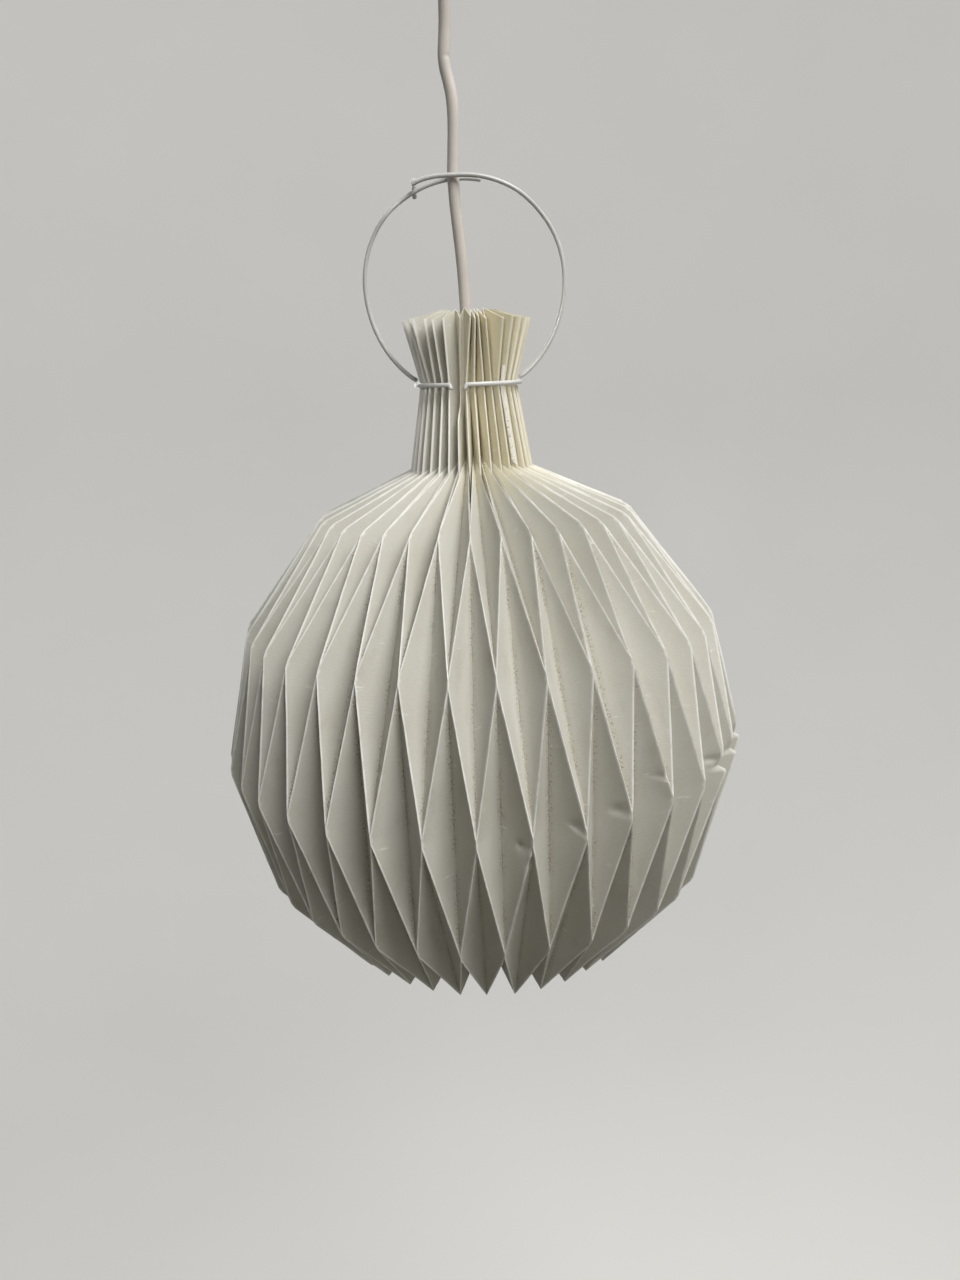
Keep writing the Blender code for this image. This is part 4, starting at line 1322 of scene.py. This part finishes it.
        for panel, (first, second) in enumerate(zip(*pair)):
            a = b = 0
            if panel >= self.first_ridge:
                sharp.add((first[0][0], second[0][0]))
            last_a = len(first) - 1
            last_b = len(second) - 1
            while a < last_a or b < last_b:
                next_a = first[a + 1][1] if a < last_a else math.inf
                next_b = second[b + 1][1] if b < last_b else math.inf
                both = (a == last_a - 1 and b == last_b - 1) or abs(next_a - next_b) < TINY
                step_a = both or (next_a < next_b and a + 1 < last_a) or b == last_b
                step_b = both or not step_a and (b + 1 < last_b or a == last_a)
                step_a = step_a or not step_b
                ring = [corner(0, a)]
                if step_a:
                    ring.append(corner(0, a + 1))
                if step_b:
                    ring.append(corner(1, b + 1))
                ring.append(corner(1, b))
                a += step_a
                b += step_b
                faces.append(tuple(entry[0] for entry in ring))
                corners.extend(entry[1:] for entry in ring)

    def closed_sheet(self, points: list, faces: list, corners: list, sharp: set,
                     grid: list) -> bpy.types.Mesh:
        """Return the sheet with its thickness: outer face, inner face and the cut edges between them.

        Args:
            points: The middle surface's points.
            faces: Its faces.
            corners: Flat place and fold distances of each face corner.
            sharp: Edges that stay crisp.
            grid: The lines, for the cut edges.
        """
        middle = np.array(points)
        normals = np.zeros_like(middle)
        for face in faces:
            a, b, c, d = middle[[face[0], face[1], face[2], face[-1]]]
            across = np.cross(b - a, c - a) if len(face) == 3 else np.cross(c - a, d - b)
            for number in face:
                normals[number] += across
        normals /= np.linalg.norm(normals, axis=1)[:, None]
        half = normals * (self.thickness / 2.0)
        count = len(middle)
        verts = np.concatenate((middle + half, middle - half))
        everything = list(faces)
        values = list(corners)
        start = 0
        for face in faces:
            end = start + len(face)
            everything.append(tuple(number + count for number in reversed(face)))
            values.extend(reversed(corners[start:end]))
            start = end
        ends = [(line[0][0][0], line[-1][-1][0]) for line in grid]
        edge_value = (0.0, 0.0, 1.0, 1.0, 1.0)
        for (top, hem), (next_top, next_hem) in zip(ends, ends[1:] + ends[:1]):
            everything.append((top, next_top, next_top + count, top + count))
            everything.append((next_hem, hem, hem + count, next_hem + count))
            values.extend([edge_value] * 8)
            sharp.update(((top, next_top), (hem, next_hem)))
        mesh = mesh_of("shade_sheet", verts, everything, None)
        self.write_corners(mesh, values)
        keys = np.zeros(2 * len(mesh.edges), np.int32)
        mesh.edges.foreach_get("vertices", keys)
        keys = np.sort(keys.reshape(-1, 2).astype(np.int64), axis=1)
        crisp = np.array([(min(edge), max(edge)) for edge in sharp], np.int64)
        crisp = np.concatenate((crisp, crisp + count))
        flags = np.isin(keys[:, 0] * 2 * count + keys[:, 1], crisp[:, 0] * 2 * count + crisp[:, 1])
        mesh.attributes.new("sharp_edge", "BOOLEAN", "EDGE").data.foreach_set("value", flags)
        mesh.update()
        return mesh

    @staticmethod
    def write_corners(mesh: bpy.types.Mesh, values: list) -> None:
        """Store each corner's flat place and its distances to the folds.

        Args:
            mesh: The sheet's mesh.
            values: Flat place (two numbers) and fold distances (three numbers) of each corner.
        """
        table = np.array(values, np.float32)
        flat = mesh.uv_layers.new(name="flat")
        flat.data.foreach_set("uv", np.ascontiguousarray(table[:, :2]).ravel())
        distances = mesh.attributes.new("fold_distance", "FLOAT_VECTOR", "CORNER")
        distances.data.foreach_set("vector", np.ascontiguousarray(table[:, 2:]).ravel())

    def build(self) -> None:
        sheet = self.workshop.add("folded_sheet", self.sheet_mesh(), Slot.PAPER, Body.SHADE, "shade_sheet")
        tips, _ = self.fold_nodes()


@dataclass
class SeamTape(Assembly):
    """The narrow strip that joins the sheet's two ends, glued along one fold of the neck."""

    shade: PaperShade
    pleat: int = 5
    width: float = 2.2 * MM
    edge: float = 0.5 * MM
    thickness: float = 0.25 * MM
    gap: float = 0.12 * MM
    curl: float = 0.16
    above_waist: float = 9.0 * MM
    below_waist: float = 42.0 * MM
    # How raggedly the strip was cut along the fold and along its free edge
    ragged: tuple = (0.05, 0.22)
    rows: int = 34
    cells: int = 4

    def build(self) -> None:
        """Build the strip on its panel."""
        columns = self.shade.columns()
        tips = columns[2 * self.pleat]
        notches = columns[2 * self.pleat - 1]
        rng = random.Random(self.shade.seed + 2)
        start = tips[1][1] - self.above_waist
        points = []
        for layer in (1.0, -1.0):
            for i in range(self.rows + 1):
                flat = start + (self.above_waist + self.below_waist) * i / self.rows
                near, far = (rng.uniform(-cut, cut) * MM for cut in self.ragged)
                for k in range(self.cells + 1):
                    t = k / self.cells
                    away = self.edge + self.width * t + near * (1.0 - t) + far * t
                    points.append(self.on_panel(tips, notches, away / self.shade.strip_width, flat, layer))
        mesh = mesh_of("seam_tape", points, self.faces(), 40.0)
        values = []
        for loop in mesh.loops:
            inner = self.cells - loop.vertex_index % (self.cells + 1)
            place = points[loop.vertex_index]
            values.append((0.3 + place.y, place.z, 1.0, 1.0, inner * self.width / self.cells))
        self.shade.write_corners(mesh, values)
        self.workshop.add("seam_strip", mesh, Slot.TAPE, Body.SHADE, "seam_tape")

    def on_panel(self, tips: list, notches: list, share: float, flat: float, layer: float) -> Vector:
        """Return a place on one face of the strip.

        Args:
            tips: The tip fold that the strip lies along.
            notches: The notch fold on the panel's other side.
            share: How far from the tip fold to the notch fold.
            flat: The place along the sheet.
            layer: 1 for the outer face, -1 for the inner.
        """
        upper = 0 if flat < tips[1][1] else 1
        start, end = tips[upper], tips[upper + 1]
        t = (flat - start[1]) / (end[1] - start[1])
        fold = start[0].lerp(end[0], t)
        inner = notches[upper][0].lerp(notches[upper + 1][0], t)
        along = (end[0] - start[0]).normalized()
        face = along.cross(inner - fold).normalized()
        if face.x > 0.0:
            face = -face
        lift = (self.shade.thickness + self.thickness) / 2.0 + self.gap + layer * self.thickness / 2.0
        lift += self.curl * max(0.0, share - self.edge / self.shade.strip_width) * self.shade.strip_width
        return fold.lerp(inner, share) + face * lift

    def faces(self) -> list[tuple[int, ...]]:
        """Return the faces of both sides and of the cut edges."""
        wide = self.cells + 1
        layer = wide * (self.rows + 1)
        faces = []
        for i in range(self.rows):
            for k in range(self.cells):
                a = i * wide + k
                faces.append((a, a + wide, a + wide + 1, a + 1))
                faces.append((a + layer, a + layer + 1, a + layer + wide + 1, a + layer + wide))
        rim = list(range(0, layer, wide)) + list(range(layer - wide + 1, layer))
        rim += list(range(layer - 1 - wide, 0, -wide)) + list(range(wide - 2, 0, -1))
        faces += [(b, a, a + layer, b + layer) for a, b in zip(rim, rim[1:] + rim[:1])]
        return faces


@dataclass
class WireHanger(Assembly):
    """The bent wire: a collar round the neck and two arms that close over the flex."""

    axis_x: float
    waist_z: float
    wire_radius: float = 1.15 * MM
    collar_radius: float = 27.5 * MM
    collar_start: float = math.radians(-1.8)
    collar_end: float = math.radians(339.6)
    collar_tip: float = 1.8 * MM
    collar_steps: int = 150
    pivot_rise: float = 2.6 * MM
    ring_radius: float = 51.5 * MM
    left_inside: float = 1.2 * MM
    right_inside: float = 1.0 * MM
    ring_rise: float = 50.5 * MM
    # The lower half of each arm is an upright half-ellipse that runs into the collar
    lower_reach: float = 57.0 * MM
    arm_steps: int = 72
    arc_start: float = math.radians(-57.2)
    right_end: float = math.radians(117.0)
    left_end: float = math.radians(101.0)
    spread_start: float = math.radians(38.0)
    spread_end: float = math.radians(60.0)
    grip_spread: float = 4.45 * MM
    narrow_start: float = math.radians(20.0)
    hook_start: float = math.radians(90.0)
    hook_rise: float = 0.4 * MM
    # The hook arches high for the arms to open under it: (depth, height) in millimetres from the arm's end
    hook_front: tuple = ((-2.2, 0.1), (0.6, 0.5), (2.4, 1.9), (4.45, 2.85))
    # Then it comes down behind the left arm's wire: (depth, height) in millimetres from its rear leg's top
    hook_rear: tuple = ((-0.75, 2.1), (0.0, 0.0), (0.0, -5.0))
    gap: float = 0.3 * MM

    def round_neck(self, angle: float, rise: float, radius: float) -> Vector:
        """Return a place round the neck.

        Args:
            angle: Angle from the front towards +X.
            rise: Height above the waist.
            radius: Distance from the axis.
        """
        return round_axis(self.axis_x, radius, angle, self.waist_z + rise)

    def collar_points(self) -> list[Vector]:
        """Return the collar's centre line, open at the front, with both tips turned down."""
        points = []
        for i in range(self.collar_steps + 1):
            angle = self.collar_start + (self.collar_end - self.collar_start) * i / self.collar_steps
            points.append(self.round_neck(angle, 0.0, self.collar_radius))
        bend = self.collar_tip / self.collar_radius / 2.0
        out = self.collar_radius + 0.16 * self.collar_tip
        first = self.round_neck(self.collar_start - bend, -self.collar_tip, out)
        last = self.round_neck(self.collar_end + bend, -self.collar_tip, out)
        return [first, first.lerp(points[0], 0.6)] + points + [last.lerp(points[-1], 0.6), last]

    def arm_points(self, radius: float, end_radius: float, arc_end: float, spread: float,
                   side: float) -> list[Vector]:
        """Return an arm's centre line from its foot up round the ring.

        Args:
            radius: The arm's radius above its widest place.
            end_radius: The radius that the arm goes to at its end.
            arc_end: Where the arm ends on the ring.
            spread: How far the arm leaves the ring's plane where it passes the flex.
            side: 1 for the right arm, -1 for the left.
        """
        points = [Vector((self.axis_x + side * self.collar_radius, 0.0, self.waist_z + self.pivot_rise))]
        for i in range(1, self.arm_steps + 1):
            angle = self.arc_start + (arc_end - self.arc_start) * i / self.arm_steps
            narrow = ease(angle, self.narrow_start, self.hook_start)
            wide = self.ring_radius + (radius - self.ring_radius) * narrow
            wide += (end_radius - radius) * ease(angle, self.hook_start, arc_end)
            high = wide if angle > 0.0 else self.lower_reach
            points.append(Vector((self.axis_x + side * wide * math.cos(angle),
                                  spread * ease(angle, self.spread_start, self.spread_end),
                                  self.waist_z + self.ring_rise + high * math.sin(angle))))
        return points

    def right_points(self) -> list[Vector]:
        """Return the right arm's centre line with the hook that arches over the left arm's wire."""
        inside = self.ring_radius - self.right_inside
        bridge = self.ring_radius - self.left_inside + 2.0 * self.wire_radius + self.hook_rise
        points = self.arm_points(inside, bridge, self.right_end, -self.grip_spread, 1.0)
        over = points[-1] + Vector((0.0, self.grip_spread, 0.0))
        rear = self.grip_spread + 2.0 * self.wire_radius + 2.0 * self.gap
        hook = [over + Vector((0.0, y * MM, z * MM)) for y, z in self.hook_front]
        hook += [over + Vector((0.0, rear + y * MM, z * MM)) for y, z in self.hook_rear]
        return points[:-1] + smooth_route([points[-1]] + hook, 0.7 * MM)

    def build(self) -> None:
        """Build the collar and the arms."""
        inside = self.ring_radius - self.left_inside
        left = self.arm_points(inside, inside, self.left_end, self.grip_spread, -1.0)
        wires = (("collar_wire", self.collar_points(), Body.SHADE, "collar_spring"),
                 ("right_arm_wire", self.right_points(), Body.RIGHT_ARM, "hanger_arm_right"),
                 ("left_arm_wire", left, Body.LEFT_ARM, "hanger_arm_left"))
        for name, points, body, node in wires:
            self.workshop.add(name, tube_mesh(name, points, self.wire_radius), Slot.WIRE, body, node)


@dataclass
class Flex(Assembly):
    """The round flex from the ceiling clamp to the lampholder, with its kink."""

    axis_x: float
    radius: float = 3.0 * MM
    top: float = -8.0 * MM
    bottom: float = -311.0 * MM
    # The crease of the kink: its height above the widest ring, its reach and how far it pinches the sheath
    crease: float = 352.0 * MM
    crease_reach: float = 0.9 * MM
    pinch: float = 0.16
    # Route given in millimetres: off the shade's axis in X, and height above the widest ring
    route: tuple = ((-5.0, 430.0), (-5.0, 412.0), (-5.0, 394.0), (-5.0, 380.0), (-5.02, 369.5),
                    (-5.6, 360.5), (-6.2, 353.5), (-5.8, 347.5), (-4.5, 341.5), (-3.3, 335.5),
                    (-2.75, 328.0), (-2.85, 319.0), (-3.4, 309.0), (-3.9, 299.0), (-3.4, 285.0),
                    (-2.2, 271.0), (-0.9, 254.0), (-0.2, 235.0), (0.0, 215.0), (0.0, 195.0),
                    (0.0, 175.0), (0.0, 156.0))

    def squeeze(self, centre: Vector, out: Vector) -> float:
        """Return how much the sheath is pinched at the crease of the kink.

        Args:
            centre: A point of the centre line.
            out: The outward direction there.
        """
        gap = (centre.z - RING_Z - self.crease) / self.crease_reach
        return 1.0 - self.pinch * math.exp(-gap * gap) * max(0.0, 0.45 + 0.55 * out.x)

    def build(self) -> None:
        points = [(self.axis_x + x * MM, 0.0, RING_Z + z * MM) for x, z in self.route]
        points = [(points[0][0], 0.0, self.top)] + points + [(self.axis_x, 0.0, self.bottom)]
        points = list(reversed(smooth_route(points, 1.0 * MM)))
        mesh = tube_mesh("flex_sheath", points, self.radius, 28, 0.05, self.squeeze)
        piece = self.workshop.add("flex_sheath", mesh, Slot.FLEX, Body.SUSPENSION, "cord")


@dataclass
class CeilingFitting(Assembly):
    """The plate with its clamp and terminals, and the cup that slides up over them."""

    wall: float = 2.0 * MM
    corner: float = 14.0 * MM
    cup_bore: float = 5.5 * MM
    bush_bore: float = 3.3 * MM
    sleeve: float = 5.2 * MM
    flange: float = 7.0 * MM
    cup_ease: float = 0.6 * MM
    bush_ease: float = 1.2 * MM

    def build(self) -> None:
        """Build the cup and its bush, and dress the pieces under it."""
        cup = Span.of("ceiling_cup")

        def bend(radius: float) -> Profile:
            """Return the rounding at the foot of the cup's wall."""
            return [(cup.radius - self.corner + radius * math.cos(a),
                     cup.bottom + self.corner - radius * math.sin(a)) for a in quarter(16)]

        profile = [(cup.radius, cup.top), *bend(self.corner), (self.cup_bore, cup.bottom),
                   (self.cup_bore, cup.bottom + self.wall), *reversed(bend(self.corner - self.wall)),
                   (cup.radius - self.wall, cup.top)]
        shop = self.workshop
        shop.turn("canopy_cup", eased_corners(profile, self.cup_ease), Slot.PLASTIC, Body.CUP, "ceiling_cup")
        bush = Span.of("cup_bush")
        shelf = bush.bottom + self.flange
        profile = [(self.sleeve, bush.top), (self.sleeve, shelf), (bush.radius, shelf),
                   (bush.radius, bush.bottom), (self.bush_bore, bush.bottom), (self.bush_bore, bush.top)]
        shop.turn("grip_bush", eased_corners(profile, self.bush_ease), Slot.PLASTIC, Body.CUP, "cup_bush")
        shop.keep(Slot.STEEL, "ceiling_plate", "clamp_screw_left", "clamp_screw_right", "cup_grub_screw",
                  bevel=0.25 * MM)
        shop.keep(Slot.PLASTIC, "cord_clamp", "terminal_block", bevel=0.4 * MM)
        shop.keep(Slot.BRASS, "terminal_screw_live", "terminal_screw_neutral", bevel=0.2 * MM)
        shop.keep(Slot.BROWN, "core_live_ceiling")
        shop.keep(Slot.BLUE, "core_neutral_ceiling")


@dataclass
class Lampholder(Assembly):
    """The plastic lampholder: cord nut, domed cap and fluted skirt round the brass thread."""

    bore: float = 3.3 * MM
    cap_bore: float = 3.6 * MM
    cap_neck: float = 7.6 * MM
    dome: float = 18.0 * MM
    wall: float = 2.0 * MM
    lip: float = 14.7 * MM
    edge_ease: float = 0.9 * MM
    cap_ease: float = 0.5 * MM
    # Rows down the nut and the skirt, as shares of their height; the grip runs from the second row to the
    # last but one
    nut_rows: tuple = (0.0, 0.15, 0.25, 0.8, 0.9, 1.0)
    skirt_rows: tuple = (0.0, 0.12, 0.2, 0.5, 0.78, 0.86, 1.0)

    def build(self) -> None:
        """Build the outside of the lampholder and dress its inner pieces."""
        nut = Span.of("cord_nut")
        rows = [(nut.radius, nut.top - (nut.top - nut.bottom) * t) for t in self.nut_rows]
        profile = eased_corners(rows + [(self.bore, nut.bottom), (self.bore, nut.top)], self.edge_ease)
        grip = flutes(18, 0.5 * MM, nut.radius - self.edge_ease, rows[-2][1], rows[1][1], 1.2 * MM)
        shop = self.workshop
        shop.turn("strain_nut", profile, Slot.PLASTIC, Body.SUSPENSION, "cord_nut", 144, grip)
        cap = Span.of("holder_cap")

        def vault(inset: float) -> Profile:
            """Return the cap's dome, set in from its outside."""
            wide = cap.radius - self.cap_neck - inset
            return [(self.cap_neck + wide * math.sin(a),
                     cap.top - inset - (self.dome - inset) * (1.0 - math.cos(a))) for a in quarter(18)]

        profile = [*vault(0.0), (cap.radius, cap.bottom), (cap.radius - self.wall, cap.bottom),
                   *reversed(vault(self.wall)), (self.cap_bore, cap.top - self.wall),
                   (self.cap_bore, cap.top)]
        profile = eased_corners(profile, self.cap_ease)
        shop.turn("domed_cap", profile, Slot.PLASTIC, Body.SUSPENSION, "holder_cap")
        skirt = Span.of("holder_skirt")
        rows = [(skirt.radius, skirt.top - (skirt.top - skirt.bottom) * t) for t in self.skirt_rows]
        profile = rows + [(self.lip, skirt.bottom), (self.lip, skirt.bottom + self.wall),
                          (skirt.radius - self.wall, skirt.bottom + 2.0 * self.wall),
                          (skirt.radius - self.wall, skirt.top)]
        profile = eased_corners(profile, self.edge_ease)
        grip = flutes(40, 0.45 * MM, skirt.radius - 0.2 * MM, rows[-2][1], rows[1][1], 2.0 * MM)
        shop.turn("fluted_skirt", profile, Slot.PLASTIC, Body.SUSPENSION, "holder_skirt", 240, grip)
        shop.keep(Slot.CERAMIC, "holder_insert", bevel=0.4 * MM)
        shop.keep(Slot.BRASS, "holder_terminal_live", "holder_terminal_neutral", "centre_contact",
                  "thread_shell")
        shop.keep(Slot.BROWN, "core_live_holder")
        shop.keep(Slot.BLUE, "core_neutral_holder")


@dataclass
class Lamp(Assembly):
    """The screw-in lamp: threaded cap, finned housing and opal globe."""

    thread_depth: float = 0.7 * MM
    pitch: float = 3.62 * MM
    cap_wall: float = 0.7 * MM
    cap_rows: int = 60
    # Plain lengths of the cap above and below its thread
    plain_top: float = 1.2 * MM
    plain_foot: float = 3.0 * MM
    housing_wall: float = 1.6 * MM
    housing_gap: float = 0.3 * MM
    neck_height: float = 7.0 * MM
    flare_rows: int = 20
    # How straight the housing's flare runs; the rest of it is an S-curve
    flare_straight: float = 0.62
    globe_neck: float = 27.0 * MM
    globe_wall: float = 1.2 * MM
    globe_rows: int = 40

    def build(self) -> None:
        """Build the lamp's outside and dress its inner pieces."""
        self.add_cap()
        self.add_housing()
        self.add_globe()
        self.workshop.keep(Slot.BRASS, "lamp_contact")
        self.workshop.keep(Slot.INSULATOR, "lamp_insulator")
        self.workshop.keep(Slot.BOARD, "led_board", bevel=0.3 * MM)

    def add_cap(self) -> None:
        """Build the cap with its round thread."""
        cap = Span.of("lamp_screw_cap")
        root = cap.radius - self.thread_depth
        high = cap.top - self.plain_top
        low = cap.bottom + self.plain_foot

        def thread(radius: float, angle: float, height: float) -> float:
            """Return the radius with the round thread raised on it."""
            if radius < root or not low < height < high:
                return radius
            share = min(1.0, (height - low) / MM, (high - height) / MM)
            turn = TURN * height / self.pitch + angle
            return radius + self.thread_depth * share * (0.5 + 0.5 * math.cos(turn))

        steps = range(self.cap_rows + 1)
        profile = [(root, cap.top - (cap.top - cap.bottom) * i / self.cap_rows) for i in steps]
        profile += [(root - self.cap_wall, cap.bottom), (root - self.cap_wall, cap.top)]
        self.workshop.turn("threaded_cap", profile, Slot.BRASS, Body.LAMP, "lamp_screw_cap", 96, thread)

    def add_housing(self) -> None:
        """Build the housing with shallow fins round its flare."""
        house = Span.of("lamp_housing")
        root = Span.of("lamp_screw_cap").radius - self.thread_depth
        neck = root - self.cap_wall - self.housing_gap
        shoulder = house.top - self.neck_height
        profile = [(neck, house.top), (neck, shoulder)]
        for i in range(self.flare_rows + 1):
            t = i / self.flare_rows
            share = self.flare_straight * t + (1.0 - self.flare_straight) * ease(t, 0.0, 1.0)
            profile.append((root + (house.radius - root) * share, shoulder - (shoulder - house.bottom) * t))
        wall = self.housing_wall
        shelf = house.bottom + 2.0 * wall
        profile += [(house.radius - wall, house.bottom), (house.radius - wall, shelf),
                    (house.radius - 3.0 * wall, shelf), (neck - wall, shoulder - wall),
                    (neck - wall, house.top)]
        fins = flutes(36, 0.7 * MM, root + 1.5 * MM, house.bottom + 3.0 * MM, shoulder - 4.0 * MM, 4.0 * MM)
        self.workshop.turn("finned_housing", profile, Slot.PLASTIC, Body.LAMP, "lamp_housing", 216, fins)

    def add_globe(self) -> None:
        """Build the opal globe."""
        globe = Span.of("lamp_globe")
        centre = globe.bottom + globe.radius
        start = math.asin(self.globe_neck / globe.radius)
        angles = [start + (math.pi - start) * i / self.globe_rows for i in range(self.globe_rows)]
        hollow = globe.radius - self.globe_wall
        profile = [(0.0, centre - hollow)]
        profile += [(hollow * math.sin(a), centre + hollow * math.cos(a)) for a in reversed(angles[1:])]
        profile.append((self.globe_neck - self.globe_wall, globe.top))
        profile += [(globe.radius * math.sin(a), centre + globe.radius * math.cos(a)) for a in angles]
        profile.append((0.0, globe.bottom))
        self.workshop.turn("opal_bulb", profile, Slot.GLOBE, Body.LAMP, "lamp_globe")


@dataclass(frozen=True)
class StudioLamp:
    """A soft square lamp, or a narrow spot where it has a beam, aimed at the lantern."""

    name: str
    place: tuple[float, float, float]
    size: float
    power: float
    colour: Colour = (1.0, 0.985, 0.955)
    # Where it is aimed: right of the shade's axis, and above the widest ring
    aim: tuple[float, float] = (0.0, 0.05)
    beam: float | None = None

    def hang(self, axis_x: float) -> None:
        """Add the lamp to the scene.

        Args:
            axis_x: The shade's axis.
        """
        data = bpy.data.lights.new(self.name, "SPOT" if self.beam else "AREA")
        data.energy = self.power
        data.color = self.colour
        lamp = bpy.data.objects.new(self.name, data)
        lamp.location = self.place
        if self.beam:
            data.spot_size = self.beam
            data.spot_blend = 1.0
            data.shadow_soft_size = self.size
        else:
            data.size = self.size
            lamp.visible_camera = False
        aim = Vector((axis_x + self.aim[0], 0.0, RING_Z + self.aim[1])) - Vector(self.place)
        lamp.rotation_mode = "QUATERNION"
        lamp.rotation_quaternion = aim.to_track_quat("-Z", "Y")
        bpy.context.scene.collection.objects.link(lamp)


@dataclass
class Studio:
    """Camera, lights and the pale room round the lantern."""

    axis_x: float
    # Camera place relative to the widest ring, and its turns, fitted to the rings of folds
    distance: float = 553.4 * MM
    rise: float = 208.0 * MM
    yaw: float = math.radians(-0.11)
    pitch: float = math.radians(-15.37)
    roll: float = math.radians(2.12)
    lens: float = 28.5
    sensor: float = 36.0
    floor_z: float = -1.55
    room_radius: float = 2.4
    room_height: float = 3.6
    room_corner: float = 1.2
    room_colour: Colour = (0.64, 0.63, 0.61)
    room_patch: Colour = (0.60, 0.59, 0.57)
    # The room's own glow where it is seen, and the colour of the light that it sends back
    room_glow: float = 0.40
    room_bounce: Colour = (0.23, 0.22, 0.20)
    # The world's light, and its colour where it is seen above the backdrop
    sky_light: Colour = (0.319, 0.350, 0.380)
    sky_seen: Colour = (0.44, 0.436, 0.422)
    # The neck lamp opens the shadows between the neck's pleats
    lamps: tuple = (
        StudioLamp("key", (0.705, -0.85, 1.235), 1.2, 45.0),
        StudioLamp("front", (0.46, -0.84, -0.30), 0.7, 0.6),
        StudioLamp("side", (1.062, 0.182, 0.528), 0.85, 4.4),
        StudioLamp("neck", (-0.11, -0.72, -0.12), 0.04, 9.0, (1.0, 0.97, 0.90), (0.034, 0.180),
                   math.radians(12.0)),
        StudioLamp("back", (-0.30, 0.95, -0.10), 0.8, 4.0, (1.0, 0.99, 0.97)),
    )

    def add_camera(self) -> None:
        """Set the camera at the photograph's viewing angle."""
        turn = (Matrix.Rotation(self.yaw, 3, "Z") @ Matrix.Rotation(self.pitch, 3, "X")
                @ Matrix.Rotation(self.roll, 3, "Y"))
        right, forward, up = turn.col
        data = bpy.data.cameras.new("camera")
        data.sensor_width = self.sensor
        data.lens = self.lens
        data.clip_start = 0.01
        camera = bpy.data.objects.new("camera", data)
        camera.matrix_world = Matrix((
            (right.x, up.x, -forward.x, self.axis_x),
            (right.y, up.y, -forward.y, -self.distance),
            (right.z, up.z, -forward.z, RING_Z + self.rise),
            (0.0, 0.0, 0.0, 1.0)))
        bpy.context.scene.collection.objects.link(camera)
        bpy.context.scene.camera = camera

    @staticmethod
    def plain_sight(tree: Tree) -> Socket:
        """Return 1 for rays that show the background itself, and 0 for those that carry its light.

        Args:
            tree: The node tree of the room or the world.
        """
        path = tree.add("ShaderNodeLightPath").outputs
        seen = tree.math("MAXIMUM", path["Is Camera Ray"], path["Is Glossy Ray"])
        return tree.math("MAXIMUM", seen, path["Is Transmission Ray"])

    def add_room(self) -> None:
        """Make the pale floor that curves up into a round backdrop."""
        inner = self.room_radius - self.room_corner
        top = self.floor_z + self.room_corner
        curve = [(inner + self.room_corner * math.sin(a), top - self.room_corner * math.cos(a))
                 for a in quarter(16)]
        profile = [(0.0, self.floor_z), *curve, (self.room_radius, self.floor_z + self.room_height)]
        room = bpy.data.objects.new("floor", turned_mesh("floor", profile))
        bpy.context.scene.collection.objects.link(room)
        material, tree, shader = start_material("pale_floor")
        place = tree.add("ShaderNodeTexCoord").outputs["Object"]
        clouds = tree.spread(tree.cloud(place, 3.0), 0.3, 0.7, 0.0, 0.25)
        seen = self.plain_sight(tree)
        pale = tree.blend(clouds, self.room_colour, self.room_patch)
        tree.feed(shader.inputs, {
            "Base Color": tree.blend(seen, self.room_bounce, pale),
            "Emission Color": pale,
            "Emission Strength": tree.times(seen, self.room_glow),
            "Roughness": 0.9})
        room.data.materials.append(material)

    def build(self) -> None:
        """Build the studio."""
        scene = bpy.context.scene
        scene.view_settings.view_transform = "Standard"
        self.add_camera()
        self.add_room()
        for lamp in self.lamps:
            lamp.hang(self.axis_x)
        world = bpy.data.worlds.new("soft_sky")
        world.use_nodes = True
        tree = Tree(world.node_tree)
        colour = tree.blend(self.plain_sight(tree), self.sky_light, self.sky_seen)
        tree.feed(tree.nodes["Background"].inputs, {"Color": colour})
        scene.world = world


def main() -> None:
    """Load the frame, and build each sub-assembly and the studio."""
    logging.basicConfig(level=logging.INFO, format="%(name)s: %(message)s")
    for item in list(bpy.data.objects):
        bpy.data.objects.remove(item, do_unlink=True)
    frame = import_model()
    workshop = Workshop(frame, Palette(Effects()))
    axis_x = Span.of("lamp_globe").axis_x
    waist_z = Span.of("collar_spring").top - WireHanger.wire_radius
    shade = PaperShade(workshop, axis_x)
    assemblies = (shade, SeamTape(workshop, shade), WireHanger(workshop, axis_x, waist_z),
                  Flex(workshop, axis_x), CeilingFitting(workshop), Lampholder(workshop), Lamp(workshop))
    for assembly in assemblies:
        assembly.build()
    Studio(axis_x).build()


if __name__ == "__main__":
    main()
